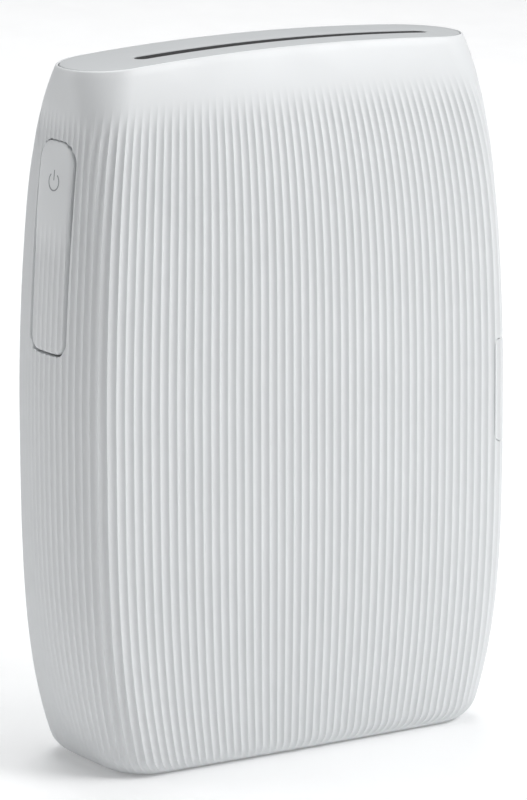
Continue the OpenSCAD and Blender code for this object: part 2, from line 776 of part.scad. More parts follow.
// The idler turns on a stub, because the second gear's large step passes over it
module gear_axles() color("silver") {
    for (at = [second_at, first_at, pick_at]) bar_x(axle_d, plate_x0, chamber_x0 - 0.1, at[0], at[1]);
    bar_x(axle_d, layer_a - 0.1, chamber_x0 - 0.1, idler_at[0], idler_at[1]);
}

module roller_bushes() color("sandybrown") for (at = [front_at, rear_at], x = [wall_x0, chamber_x1])
    difference() {
        bar_x(bush_d, x - 0.2, x + chassis_t + 0.2, at[0], at[1]);
        bar_x(shaft_d + 2 * run, x - 1, x + chassis_t + 1, at[0], at[1]);
    }

module roller(at, x1) {
    bar_x(2 * roller_r, chamber_x0 + 0.5, chamber_x1 - 0.5, at[0], at[1], 64);
    bar_x(shaft_d, layer_a, x1, at[0], at[1]);
}

module front_roller() color("silver") roller(front_at, wall_x1 + 2);

module rear_roller() color("silver") roller(rear_at, wall_x1 + 0.8);

module shaft_gear(at, turn) {
    difference() {
        gear(at, roller_teeth, roller_module, turn, layer_a);
        bar_x(shaft_d + 2 * press, layer_a - 1, layer_a + gear_t + 1, at[0], at[1]);
    }
}

module front_roller_gear() color("ivory") shaft_gear(front_at, front_turn);

module rear_roller_gear() color("ivory") shaft_gear(rear_at, rear_turn);

module axle_gear(at) {
    difference() {
        children();
        bar_x(axle_d + 2 * run, layer_b - 1, wall_x0 + 1, at[0], at[1]);
    }
}

module idler_gear() color("ivory") axle_gear(idler_at)
    gear(idler_at, idler_teeth, roller_module, idler_turn, layer_a);

module second_gear() color("ivory") axle_gear(second_at) union() {
    gear(second_at, second_small, roller_module, second_turn, layer_a);
    gear(second_at, second_large, fast_module, second_turn, layer_b, gear_t);
    bar_x(4.4, layer_b, layer_a + fine, second_at[0], second_at[1]);
}

module first_gear() color("ivory") axle_gear(first_at) union() {
    gear(first_at, first_large, fast_module, first_turn, layer_a);
    gear(first_at, first_small, fast_module, first_turn, layer_b, gear_t);
    bar_x(2.9, layer_b, layer_a + fine, first_at[0], first_at[1]);
}

// The pick gear's outer step has teeth on a short sector only
module pick_gear() color("ivory") axle_gear(pick_at) union() {
    gear(pick_at, pick_teeth, fast_module, pick_turn, layer_a);
    translate([0, pick_at[0], pick_at[1]]) across(layer_b, gear_t + free + fine)
        gear_outline(sector_teeth, fast_module, 27, 0, 2);
}

module motor_pinion() color("silver") union() {
    gear(motor_at, pinion_teeth, fast_module, pinion_turn, layer_a);
    bar_x(axle_d, layer_a + gear_t - fine, chamber_x0 + 3, motor_at[0], motor_at[1]);
}

module motor() color("darkgray") difference() {
    end = chamber_x0 + motor_l;
    union() {
        bar_x(motor_d, chamber_x0, end, motor_at[0], motor_at[1]);
        bar_x(motor_nose_d, wall_x0 + 0.4, chamber_x0 + fine, motor_at[0], motor_at[1]);
        bar_x(motor_d * 0.6, end - fine, end + 0.8, motor_at[0], motor_at[1]);
        for (y = [motor_at[0] - 3.3, motor_at[0] + 3.3])
            box([end - fine, y - 0.6, motor_at[1] - 0.3], [end + 2, y + 0.6, motor_at[1]]);
    }
    bar_x(axle_d + 2 * run, wall_x0 - 1, chamber_x0 + 3.2, motor_at[0], motor_at[1]);
}

module encoder_wheel() color("black") difference() {
    union() {
        bar_x(2 * encoder_r, encoder_x[0], encoder_x[1], front_at[0], front_at[1], 64);
        bar_x(4.6, encoder_x[0] - 0.4, encoder_x[1] + 0.5, front_at[0], front_at[1]);
    }
    bar_x(shaft_d + 2 * press, encoder_x[0] - 1, encoder_x[1] + 2, front_at[0], front_at[1]);
    for (i = [0:15]) translate([encoder_x[0] - fine, front_at[0], front_at[1]]) rotate([i * 22.5, 0, 0])
        box([0, encoder_r - 1.3, -0.3], [0.6, encoder_r - 0.4, 0.3]);
}

module encoder_sensor() color([0.1, 0.1, 0.1]) difference() {
    box([wall_x1, front_at[0] - 2.4, sensor_z[0]], [encoder_x[1] + 1.3, front_at[0] + 2.4, sensor_z[1]]);
    box([encoder_x[0] - free, front_at[0] - 3, roller_z - encoder_r - 0.5],
        [encoder_x[1] + free, front_at[0] + 3, roller_z]);
}

module exposure_head() color([0.12, 0.12, 0.13]) difference() {
    union() {
        box([chamber_x0, board_y0, head_z0], [chamber_x1, plate_y1 - 0.2, head_step_z]);
        across(chamber_x0, chamber_x1 - chamber_x0) polygon([
            [-9.6, head_step_z - fine], [-8.4, head_z1],
            [plate_y1 - 0.2, head_z1], [plate_y1 - 0.2, head_step_z - fine]
        ]);
    }
    box([film_x - lens_half - seat, lens_y0, lens_z[0] - seat],
        [film_x + lens_half + seat, 0, lens_z[1] + seat]);
}

module head_lens() color("lightsteelblue")
    box([film_x - lens_half, lens_y0, lens_z[0]], [film_x + lens_half, plate_y1 + 0.5, lens_z[1]]);

module pick_slide() color("white") union() {
    box([slide_x[0], slide_y[0], floor_z0 + 1.7], [slide_x[1], slide_y[1], rack_z[0] + 1]);
    box([slide_x[0], film_y - foot_half, floor_z0 + 1.7],
        [chamber_x0 + 5.4, film_y + foot_half, floor_z1 - 0.2]);
    box([layer_a, slide_y[0], rack_z[0]], [slide_x[1], rack_y[1], rack_z[0] + 5]);
    box([layer_b + 0.2, rack_y[0], rack_z[0]], [layer_a + fine, rack_y[1], rack_z[0] + 5]);
    across(layer_b + 0.2, gear_t - 0.4) polygon(concat(
        [[rack_y[1], rack_z[1]], [rack_y[1], rack_z[0]], [rack_y[0], rack_z[0]]],
        [for (i = [0:rack_teeth - 1], c = [[0, -0.35], [1, -0.12], [1, 0.12], [0, 0.35]])
            [c[0] == 0 ? rack_y[0] : rack_tip_y, rack_z[0] + 10.5 + (i + c[1]) * rack_pitch]],
        [[rack_y[0], rack_z[1]]]));
    box([spring_x - 1.2, film_y - 1, spring_z[1]], [slide_x[0] + fine, film_y + 1, spring_z[1] + 2]);
}

// Close-wound springs are plain sleeves here
module sleeve(d, x, y, z0, z1) {
    difference() {
        bar_z(d, x, y, z0, z1);
        bar_z(d * 0.65, x, y, z0 - 1, z1 + 1);
    }
}

module pick_spring() color("silver") sleeve(2.4, spring_x, film_y, spring_z[0], spring_z[1]);

// Side controls

module button_bracket() color([0.25, 0.25, 0.27]) difference() {
    union() {
        box([bracket_x0, button_y - ear_out, bracket_screws[0][1] - 2.4],
            [bracket_x1, button_y + ear_out, bracket_screws[1][1] + 2.2]);
        for (s = [-1, 1]) translate([0, button_y + s * (ear_in + ear_out) / 2, 0]) {
            t = (ear_out - ear_in) / 2;
            bar_y(2 * lug_r, button_x, -t, t, button_pin_z);
            box([button_x, -t, button_pin_z - lug_r], [bracket_x0 + fine, t, button_pin_z + lug_r]);
        }
        for (p = bracket_screws) bar_x(post_d, bracket_x1 - fine, plate_x0, p[0], p[1]);
    }
    bar_y(button_pin_d + 2 * press, button_x, button_y - ear_out - 1, button_y + ear_out + 1, button_pin_z);
    for (p = bracket_screws) bar_x(screw_room, bracket_x0 - 1, plate_x0 + 1, p[0], p[1], 32);
}

module switch_board() color("seagreen")
    box([switch_x1, button_y - 3.4, icon_z - 4.5], [bracket_x0, button_y + 3.4, icon_z + 3.8]);

module power_switch() color([0.2, 0.2, 0.2]) difference() {
    box([switch_x0, button_y - 2.6, icon_z - 2.6], [switch_x1, button_y + 2.6, icon_z + 2.6]);
    bar_x(plunger_d + 2 * run, switch_x0 - 1, switch_x1 - 0.25, button_y, icon_z);
}

module switch_plunger() color("ivory")
    bar_x(plunger_d, switch_x0 - plunger_out, switch_x0 + 0.55, button_y, icon_z);

module button_pin() color("silver")
    bar_y(button_pin_d, button_x, button_y - ear_out, button_y + ear_out, button_pin_z);

// The button panel follows the body's side and sinks towards its lower end
function button_inward(z) =
    button_inset + (button_sink - button_inset) * min(1, max(0, (icon_z - 5 - z) / (icon_z - 5 - button_z)));
function button_ring(z, deeper) =
    let (o = outline(z), d = rib_depth / 2 * min(1, max(0, (icon_z - 5 - z) / 6)))
    [for (i = [0:rib_count - 1], p = rib_pts)
        bent(around((i + p[0]) / rib_count, o, button_inward(z) + (deeper > 0 ? deeper : d * p[1])), z)];
module button_block(deeper) {
    loft([for (i = [0:6]) button_ring(button_z - 1 + i * (button_h + 4) / 6, deeper)]);
}

module power_button() color("whitesmoke") one_mesh() difference() {
    union() {
        intersection() {
            button_prism(0, -big, button_cut_x);
            difference() {
                button_block(0);
                button_block(button_t);
            }
        }
        intersection() {
            button_block(button_t / 2);
            union() {
                for (s = [-1, 1]) translate([0, button_y + s * (ear_in - lug_w / 2 - free), 0]) {
                    bar_y(2 * lug_r, button_x, -lug_w / 2, lug_w / 2, button_pin_z, 32);
                    box([-half_w, -lug_w / 2, button_pin_z - lug_r],
                        [button_x, lug_w / 2, button_pin_z + lug_r]);
                }
                bar_x(button_nub_d, -half_w, switch_x0 - plunger_out - 0.1, button_y, icon_z, 24);
            }
        }
    }
    bar_y(button_pin_d + 2 * run + 0.02, button_x, -big, big, button_pin_z, 32);
}

module port_bezel() color([0.3, 0.3, 0.32]) difference() {
    union() {
        box([bezel_x0, bezel_y[0], port_z - 1.3], [bezel_x1, bezel_y[1], port_z + port_h + 1.3]);
        for (z = [port_z - 1.3, port_z + port_h - 0.3])
            box([wall_x1 + seat, -4, z], [bezel_x0 + fine, 0, z + 1.6]);
        for (s = [-1, 1]) {
            z0 = port_mid_z + (s > 0 ? port_lug_h / 2 + free : -port_lug_h / 2 - free - port_ear_h);
            bar_z(2 * port_knuckle_r, port_axis[0], port_axis[1], z0, z0 + port_ear_h);
            box([bezel_x0 + 0.5, port_axis[1] - port_knuckle_r, z0],
                [port_axis[0], port_axis[1] + port_knuckle_r, z0 + port_ear_h]);
        }
    }
    usb_box(0.2, bezel_x0 - 1, bezel_x1 + 1);
    bar_x(reset_d + 2 * run, bezel_x0 - 1, bezel_x1 + 1, usb_y, reset_z);
    bar_z(port_pin_d + 2 * press, port_axis[0], port_axis[1], port_z, port_z + port_h);
}

module usb_shell() color("silver") difference() {
    usb_box(0, main_x[1] + 0.2, bezel_x1 - 0.3);
    usb_box(-0.3, main_x[1] + 1.2, bezel_x1);
}

module usb_box(grow, x0, x1) {
    y = usb_t / 2 + grow;
    z = usb_w / 2 + grow;
    box([x0, usb_y - y, usb_z - z], [x1, usb_y + y, usb_z + z]);
}

module usb_tongue() color([0.15, 0.15, 0.15])
    box([main_x[1] + 1.2, usb_y - 0.9, usb_z - 2.7], [bezel_x1 - 1, usb_y - 0.1, usb_z + 2.7]);

module reset_switch() color([0.2, 0.2, 0.2])
    box([reset_seat_x - 2, board_y1, reset_z - 1.6], [reset_seat_x, usb_y + usb_t / 2, reset_z + 1.6]);

module reset_button() color("whitesmoke")
    bar_x(reset_d, reset_seat_x + reset_travel + touch, bezel_x1 - 0.2, usb_y, reset_z);

module port_pin() color("silver") bar_z(port_pin_d, port_axis[0], port_axis[1],
    port_mid_z - port_lug_h / 2 - port_ear_h, port_mid_z + port_lug_h / 2 + port_ear_h);

module port_cover() color("whitesmoke") one_mesh() difference() {
    union() {
        intersection() {
            port_prism(0, port_axis[1]);
            difference() {
                ribbed_body();
                smooth_body(cover_skin);
            }
        }
        bar_z(2 * port_knuckle_r, port_axis[0], port_axis[1],
            port_mid_z - port_lug_h / 2, port_mid_z + port_lug_h / 2, 32);
    }
    for (s = [-1, 1]) {
        z0 = port_mid_z + (s > 0 ? port_lug_h / 2 : -port_lug_h / 2 - port_ear_h - 2 * free);
        box([bezel_x1 + free, port_axis[1] - port_knuckle_r - free, z0],
            [big, big, z0 + port_ear_h + 2 * free]);
    }
    bar_z(port_pin_d + 2 * run + 0.02, port_axis[0], port_axis[1], port_z, port_z + port_h, 32);
}

// Rear door

module film_door() color("whitesmoke") one_mesh() difference() {
    inner_half = door_half - door_rim;
    union() {
        intersection() {
            ribbed_body();
            difference() {
                union() {
                    box([-door_half, door_inner_y, hinge_z], [door_half, big, door_top_z]);
                    intersection() {
                        bar_x(2 * swing_r, -door_half, door_half, hinge_y, hinge_z, 64);
                        box([-door_half, hinge_y, lip_z], [door_half, big, hinge_z + fine]);
                    }
                }
                intersection() {
                    smooth_body(door_skin);
                    box([-inner_half, door_inner_y - 1, hinge_z], [inner_half, big, door_top_z - door_rim]);
                }
                intersection() {
                    smooth_body(door_skin);
                    bar_x(2 * (swing_r - door_skin), -inner_half, inner_half, hinge_y, hinge_z, 48);
                }
            }
        }
        intersection() {
            ribbed_body();
            box([-latch_half - 1, recess_y[0], recess_z[0] - 1], [latch_half + 1, big, recess_z[1] + 1.2]);
        }
        intersection() {
            smooth_body(door_skin / 2);
            union() {
                for (s = [-1, 1]) box([s * (latch_half + 0.8) - 0.5, door_inner_y, recess_z[0]],
                    [s * (latch_half + 0.8) + 0.5, big, door_top_z - 0.5]);
                box([-2, door_inner_y, latch_post_z[0]], [2, big, latch_post_z[1]]);
                for (p = stakes) {
                    bar_y(stake_boss_d, p[0], flange_y1 + touch, half_d, p[1], 24);
                    bar_y(stake_d, p[0], flange_y0 + 0.2, half_d, p[1], 24);
                }
            }
        }
    }
    box([-latch_half, recess_y[1], recess_z[0]], [latch_half, big, recess_z[1]]);
    box([-neck_half - 0.2, recess_y[0] - 1, neck_z[0] - latch_travel - 0.2],
        [neck_half + 0.2, big, neck_z[1] + 0.2]);
    box([-tongue_half - 0.4, door_inner_y - 1, door_top_z - 3],
        [tongue_half + 0.4, recess_y[0], door_top_z + 1]);
}

module door_liner() color([0.2, 0.2, 0.21]) difference() {
    union() {
        box([liner_x[0], flange_y0, liner_z[0]], [liner_x[1], flange_y1, liner_z[1]]);
        for (s = [-1, 1]) {
            hinge_bar(s, 2 * knuckle_r, lug_x[0], lug_x[1]);
            box([s > 0 ? lug_x[0] : -lug_x[1], flange_y0, hinge_z],
                [s > 0 ? lug_x[1] : -lug_x[0], flange_y1, liner_z[0] + 1]);
        }
    }
    for (s = [-1, 1]) hinge_bar(s, door_pin_d + 2 * run, lug_x[0] - 1, lug_x[1] + 1);
    for (p = stakes) bar_y(stake_d + 0.1, p[0], flange_y0 - 1, flange_y1 + 1, p[1]);
    for (x = leaf_x) box([x - leaf_w / 2 - 0.2, flange_y0 - 1, leaf_z[0] - 0.3],
        [x + leaf_w / 2 + 0.2, flange_y0 + 0.6, leaf_z[1] + 0.3]);
}

module pack_springs() color("silver") for (x = leaf_x) translate([x - leaf_w / 2, 0, 0])
    across(0, leaf_w) polygon(concat(
        [for (i = [0:12]) leaf_point(i / 12, 0)],
        [for (i = [0:12]) leaf_point(1 - i / 12, -leaf_t)]));
function leaf_point(f, dy) =
    [flange_y0 + 0.55 - leaf_rise * sin(180 * f) + dy, blend(leaf_z[0], leaf_z[1], f)];

module door_pins() color("silver")
    for (s = [-1, 1]) hinge_bar(s, door_pin_d, ear_x[0] - 0.2, ear_far_x[1] + 0.2);

module latch_slider() color([0.75, 0.76, 0.77]) union() {
    box([-latch_half, latch_y[0], latch_z[0]], [latch_half, latch_y[1], latch_z[1]]);
    box([-tongue_half, latch_y[0], latch_z[1] - fine], [tongue_half, latch_y[1], door_top_z + door_gap / 2]);
    box([-neck_half, latch_y[1] - fine, neck_z[0]], [neck_half, recess_y[1] + 0.2, neck_z[1]]);
    box([1 - latch_half, recess_y[1] + 0.15, pad_z[0]], [latch_half - 1, recess_y[1] + 0.6, pad_z[1]]);
    for (i = [0:3]) box([2 - latch_half, recess_y[1] + 0.6 - fine, pad_z[0] + 0.7 + i * 1.4],
        [latch_half - 2, recess_y[1] + 0.9, pad_z[0] + 1.3 + i * 1.4]);
}

module latch_spring() color("silver")
    sleeve(1.2, 0, (latch_y[0] + latch_y[1]) / 2 + touch, latch_post_z[1], latch_z[0]);

// Electronics

module main_board() color("seagreen") difference() {
    union() {
        box([main_x[0], board_y0, main_z[0]], [main_x[1], board_y1, main_z[1]]);
        box([main_x[1] - 1, board_y0, port_z + 1.1], [tab_x, board_y1, port_z + port_h - 0.5]);
    }
    for (p = board_holes) bar_y(screw_room, p[0], board_y0 - 1, board_y1 + 1, p[1], 32);
}

can_x = [-8, 14];
can_z = [40, 62];
can_h = 1.6;
can_t = 0.25;
chips = [[-15, 52, 7, 9], [-15, 30, 6, 6], [2, 26, 9, 9], [17, 28, 6, 8], [24, 52, 5, 8], [-2, 66, 12, 4]];

module board_chips() color([0.12, 0.12, 0.12]) for (c = chips)
    box([c[0] - c[2] / 2, board_y0 - 0.9, c[1] - c[3] / 2], [c[0] + c[2] / 2, board_y0, c[1] + c[3] / 2]);

module shield_can() color("silver") difference() {
    box([can_x[0], board_y0 - can_h, can_z[0]], [can_x[1], board_y0, can_z[1]]);
    box([can_x[0] + can_t, board_y0 - can_h + can_t, can_z[0] + can_t],
        [can_x[1] - can_t, board_y0 + 1, can_z[1] - can_t]);
}

module battery() color([0.35, 0.4, 0.45])
    translate([battery_x0 + battery_w / 2, plate_y0 - 0.1, battery_z0 + battery_h / 2])
        rotate([90, 0, 0]) rounded_slab(battery_w, battery_h, 2, battery_t);

module head_flex() color("darkorange")
    box([8, board_y1 + touch, main_z[1] - 6], [22, board_y1 + touch + 0.15, head_z0]);

module screws() color("silver") {
    for (p = chassis_lugs) translate([p[0], plate_y0, p[1]]) rotate([90, 0, 0]) screw(screw_long);
    for (p = board_holes) translate([p[0], board_y1, p[1]]) rotate([90, 0, 0]) screw(screw_short);
    for (p = rear_posts) translate([p[0], flange_y1, p[1]]) rotate([90, 0, 0]) screw(screw_long);
    for (p = gear_posts) translate([plate_x0, p[0], p[1]]) rotate([0, 90, 0]) screw(screw_long);
    for (p = bracket_screws) translate([bracket_x0, p[0], p[1]]) rotate([0, 90, 0])
        screw(plate_x1 - bracket_x0 - 0.1);
}

front_shell();
rear_shell();
top_cap();
slot_seals();
chassis();
gear_plate();
gear_axles();
button_bracket();
switch_board();
power_switch();
main_board();
board_chips();
shield_can();
battery();
exposure_head();
head_lens();
head_flex();
port_bezel();
usb_shell();
usb_tongue();
reset_switch();
motor();
roller_bushes();
encoder_sensor();
door_pins();
button_pin();
port_pin();
screws();
film_door();
door_liner();
pack_springs();
latch_spring();
latch_slider();
power_button();
switch_plunger();
port_cover();
reset_button();
front_roller();
front_roller_gear();
encoder_wheel();
rear_roller();
rear_roller_gear();
idler_gear();
second_gear();
first_gear();
pick_gear();
motor_pinion();
pick_slide();
pick_spring();
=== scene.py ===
# Compact photo printer: a ribbed, barrel-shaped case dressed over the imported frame.
# Shapes are worked out in millimetres and turned into metres when a mesh is made.
# X runs to the right, Y to the back and Z up, from the middle of the base.
import json
import math
from functools import lru_cache

import bpy
import numpy as np
from mathutils import Matrix, Vector


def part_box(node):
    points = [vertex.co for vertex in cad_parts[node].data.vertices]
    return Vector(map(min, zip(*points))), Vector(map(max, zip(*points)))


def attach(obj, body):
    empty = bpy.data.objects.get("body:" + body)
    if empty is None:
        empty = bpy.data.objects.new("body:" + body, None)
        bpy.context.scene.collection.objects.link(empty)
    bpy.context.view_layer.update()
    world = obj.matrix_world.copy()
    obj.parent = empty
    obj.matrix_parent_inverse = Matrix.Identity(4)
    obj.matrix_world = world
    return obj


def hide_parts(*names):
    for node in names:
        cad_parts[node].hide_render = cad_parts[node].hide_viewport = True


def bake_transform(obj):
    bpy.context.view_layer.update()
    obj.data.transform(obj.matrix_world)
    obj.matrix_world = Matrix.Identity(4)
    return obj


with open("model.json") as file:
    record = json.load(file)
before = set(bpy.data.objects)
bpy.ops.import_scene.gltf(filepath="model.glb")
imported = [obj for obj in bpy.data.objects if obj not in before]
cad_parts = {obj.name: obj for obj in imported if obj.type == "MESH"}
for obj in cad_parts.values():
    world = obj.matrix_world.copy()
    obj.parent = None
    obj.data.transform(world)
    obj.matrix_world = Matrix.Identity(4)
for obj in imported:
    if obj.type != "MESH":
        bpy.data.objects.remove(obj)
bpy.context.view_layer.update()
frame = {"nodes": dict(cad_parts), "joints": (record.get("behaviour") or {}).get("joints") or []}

MM = 0.001


def node_box(node):
    """Lowest and highest corner of a node of the frame."""
    lo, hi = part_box(node)
    return np.array(lo) / MM, np.array(hi) / MM


def centre_of(node, *axes):
    """Middle of a node on some of the axes."""
    lo, hi = node_box(node)
    return tuple((lo[q] + hi[q]) / 2 for q in axes)


def radius_of(node, axis):
    """Half of a node's size along an axis."""
    lo, hi = node_box(node)
    return (hi[axis] - lo[axis]) / 2


# Driving sizes of the case

BODY_W = 90.3
BODY_D = 35.0
BODY_H = 125.0
MID_Z = BODY_H / 2
WALL = 1.6
FOOT_R = 3.7
SEAM = 0.15
SPLIT_Y = 7.5
CAP_T = 1.5
RIM = 0.4
SLOT_L = 58.0
SLOT_W = 1.5
# The slot and the film pack behind it are a little off the middle
FILM_X = 2.5
FILM_Y = -2.5

# How much half the width and half the depth lose towards the top and the foot, and with what power
TOP_IN_X, TOP_POWER_X = 5.0, 1.7
TOP_IN_Y, TOP_POWER_Y = 8.2, 3.6
FOOT_IN_X, FOOT_POWER_X = 7.2, 3.4
FOOT_IN_Y, FOOT_POWER_Y = 2.2, 3
# Corner radius, and half angles of the front and side arcs in degrees, at mid height and at both ends
CORNER_R = (4.5, 9.1)
FRONT_ANGLE = (7.3, 0.7)
SIDE_ANGLE = (23.9, 1.0)
PLAN_POWER = 3
LEAST_CORNER_R = 0.4
# Drop of the top's ends at ARCH_X from its middle, and of its front and back edges at CROWN_Y
TOP_ARCH, ARCH_X, ARCH_POWER = 1.72, 39, 3
TOP_CROWN, CROWN_Y, CROWN_POWER = 0.44, 12, 8

RIB_COUNT = 138
RIB_DEPTH = 0.4
RIB_FOOT_Z = 1.5
RIB_FULL_Z = 112.0
RIB_END_Z = 118.5
# Each rib is a shallow flute between two crests, and the crests are barely rounded
RIB_STEPS = np.array([0.0, 0.06, 0.18, 0.34, 0.5, 0.66, 0.82, 0.94])
CREST_CUT = 0.09
RIB_G = (np.arange(RIB_COUNT)[:, None] + RIB_STEPS).ravel() / RIB_COUNT
RIB_IN = np.tile(np.maximum(1 - (2 * RIB_STEPS - 1) ** 2, CREST_CUT), RIB_COUNT)

# Clearances: round what swings, round the button, on the pins, and under the cap
FREE = 0.3
PANEL_GAP = 0.25
PIN_FIT = 0.06
TOUCH = 0.05
# How far panel tools stand out of the skin, a small overlap where solids join, and a size beyond any piece
ABOVE = 1.5
FINE = 0.01
BIG = 200.0


# Outline of the body: a front arc, a corner arc and a side arc in each quarter


def mix(a, b, w):
    return a + (b - a) * w


def smooth01(t):
    """Rises smoothly from 0 to 1 as t does."""
    t = min(1, max(0, t))
    return t * t * (3 - 2 * t)


def outline(z, inset=0.0):
    """Half width, half depth, corner radius and the half angles of the two arcs at a height."""
    t = (z - MID_Z) / MID_Z
    u = abs(t)
    if t > 0:
        half_x = BODY_W / 2 - TOP_IN_X * u**TOP_POWER_X
        half_y = BODY_D / 2 - TOP_IN_Y * u**TOP_POWER_Y
    else:
        half_x = BODY_W / 2 - FOOT_IN_X * u**FOOT_POWER_X
        half_y = BODY_D / 2 - FOOT_IN_Y * u**FOOT_POWER_Y
    w = u**PLAN_POWER
    corner = max(mix(*CORNER_R, w) - inset, LEAST_CORNER_R)
    front, side = mix(*FRONT_ANGLE, w), mix(*SIDE_ANGLE, w)
    return half_x - inset, half_y - inset, corner, math.radians(front), math.radians(side)


def arcs(half_x, half_y, c, a, side):
    """Radii of the front arc and the side arc that meet the corner arc smoothly."""
    e = math.pi / 2 - side
    u = half_x - c * (math.sin(e) - math.sin(a))
    v = half_y - c * (math.cos(a) - math.cos(e))
    m = 1 - math.sin(e)
    n = 1 - math.cos(a)
    det = math.sin(a) * math.cos(e) - m * n
    return (u * math.cos(e) - m * v) / det, (math.sin(a) * v - n * u) / det


def quarter(f, plan):
    """Points and headings at fractions of the quarter outline, from the front middle to the side."""
    front_r, side_r = arcs(*plan)
    half_y, c, a, side = plan[1:]
    e = math.pi / 2 - side
    l1, l2, l3 = front_r * a, c * (e - a), side_r * side
    s = f * (l1 + l2 + l3)
    h = np.where(s < l1, s / front_r,
                 np.where(s < l1 + l2, a + (s - l1) / c, e + (s - l1 - l2) / side_r))
    x1 = front_r * math.sin(a)
    x2 = x1 + c * (math.sin(e) - math.sin(a))
    y1 = front_r * (1 - math.cos(a))
    y2 = y1 + c * (math.cos(a) - math.cos(e))
    corner_x = x1 + c * (np.sin(h) - math.sin(a))
    corner_y = y1 + c * (math.cos(a) - np.cos(h))
    side_x = x2 + side_r * (np.sin(h) - math.sin(e))
    side_y = y2 + side_r * (math.cos(e) - np.cos(h))
    x = np.where(h <= a, front_r * np.sin(h), np.where(h <= e, corner_x, side_x))
    y = np.where(h <= a, front_r * (1 - np.cos(h)), np.where(h <= e, corner_y, side_y))
    return x, y - half_y, h


def around(g, plan, inward=0.0):
    """Points at fractions g of the whole outline, from the front middle to the right, moved inward."""
    g = np.mod(np.asarray(g, float), 1.0)
    k = np.minimum(np.floor(g * 4 + 1e-9), 3).astype(int)
    f = np.clip(g * 4 - k, 0, 1)
    x, y, h = quarter(np.where(k % 2 == 0, f, 1 - f), plan)
    x = x - inward * np.sin(h)
    y = y + inward * np.cos(h)
    sx = np.where(k < 2, 1, -1)
    sy = np.where((k == 0) | (k == 3), 1, -1)
    return np.stack([x * sx, y * sy], -1)


def arched(x, y, z):
    """Height of a point of a level ring after the top's arch and crown bend it."""
    t = np.maximum((z - MID_Z) / MID_Z, 0)
    arch = TOP_ARCH * (x / ARCH_X) ** 2 * t**ARCH_POWER
    crown = TOP_CROWN * (y / CROWN_Y) ** 2 * t**CROWN_POWER
    return z - arch - crown


def place(xy, z):
    """Puts points of the plan at a height of the arched body."""
    z = np.broadcast_to(np.asarray(z, float), xy.shape[:1])
    return np.stack([xy[:, 0], xy[:, 1], arched(xy[:, 0], xy[:, 1], z)], -1)


def skin_point(g, z, inward):
    """One point at a fraction of the outline and a height, moved inward from the smooth skin."""
    return place(around([g], outline(z), inward), z)[0]


def rib_fade(z):
    """Share of the ribs' depth that is left at a height, before it is smoothed."""
    above = min(1, max(0, (RIB_END_Z - z) / (RIB_END_Z - RIB_FULL_Z)))
    return above * min(1, max(z, 0) / RIB_FOOT_Z)


def body_ring(z, inset=0.0, inward=0.0, fade=None):
    """Ring of the ribbed skin at a height."""
    depth = RIB_DEPTH * (smooth01(rib_fade(z)) if fade is None else fade)
    return place(around(RIB_G, outline(z, inset), inward + depth * RIB_IN), z)


def smooth_ring(z, inset, points=360):
    """Ring without ribs; above the body it keeps the top's outline."""
    return place(around(np.arange(points) / points, outline(min(z, BODY_H), inset)), z)


# Making and cutting solids


def add_mesh(name, verts, faces):
    mesh = bpy.data.meshes.new(name)
    mesh.from_pydata([tuple(v) for v in verts], [], faces)
    mesh.update()
    obj = bpy.data.objects.new(name, mesh)
    bpy.context.scene.collection.objects.link(obj)
    return obj


def loft(name, rings, closed=False):
    """Closed solid through rings of equally many points; closed joins the last ring to the first."""
    rings = [np.asarray(r, float) for r in rings]
    n, k = len(rings[0]), len(rings)
    verts = np.concatenate(rings)
    i = np.arange(n)
    j = (i + 1) % n
    faces = []
    for a in range(k if closed else k - 1):
        b = (a + 1) % k
        faces += np.stack([a * n + i, a * n + j, b * n + j, b * n + i], -1).tolist()
    p = verts[np.array(faces)]
    fan = np.cross(p[:, 1], p[:, 2]) + np.cross(p[:, 2], p[:, 3])
    volume = float(np.einsum("ij,ij->", p[:, 0], fan))
    if not closed:
        faces.append(list(range(n))[::-1])
        faces.append([(k - 1) * n + q for q in range(n)])
        for f in faces[-2:]:
            q = verts[f]
            fan = np.cross(q[1:-1], q[2:])
            volume += float(np.einsum("ij,ij->", np.broadcast_to(q[0], fan.shape), fan))
    if volume < 0:
        faces = [f[::-1] for f in faces]
    return add_mesh(name, verts, faces)


def box(lo, hi):
    x, y, z = zip(lo, hi)
    verts = [(a, b, c) for c in z for b in y for a in x]
    faces = [(0, 2, 3, 1), (4, 5, 7, 6), (0, 1, 5, 4), (1, 3, 7, 5), (3, 2, 6, 7), (2, 0, 4, 6)]
    return add_mesh("tool", verts, faces)


def rod(axis, r, centre, start, end, sides=48):
    """Round bar along an axis (0, 1 or 2) through a centre given on the other two axes."""
    angle = np.arange(sides) * 2 * math.pi / sides
    others = [q for q in range(3) if q != axis]
    rings = []
    for along in (start, end):
        ring = np.zeros((sides, 3))
        ring[:, axis] = along
        ring[:, others[0]] = centre[0] + r * np.cos(angle)
        ring[:, others[1]] = centre[1] + r * np.sin(angle)
        rings.append(ring)
    return loft("tool", rings)


def applied(obj):
    """Turns an object's modifiers into its mesh."""
    depsgraph = bpy.context.evaluated_depsgraph_get()
    mesh = bpy.data.meshes.new_from_object(obj.evaluated_get(depsgraph))
    obj.modifiers.clear()
    obj.data = mesh
    return obj


def combine(obj, tool, how="DIFFERENCE"):
    """Cuts, joins or intersects a solid with a tool, and removes the tool."""
    mod = obj.modifiers.new("combine", "BOOLEAN")
    mod.solver = "MANIFOLD"
    mod.operation = how
    mod.object = tool
    applied(obj)
    bpy.data.objects.remove(tool)
    return obj


def copy_of(obj, name):
    twin = bpy.data.objects.new(name, obj.data.copy())
    bpy.context.scene.collection.objects.link(twin)
    return twin


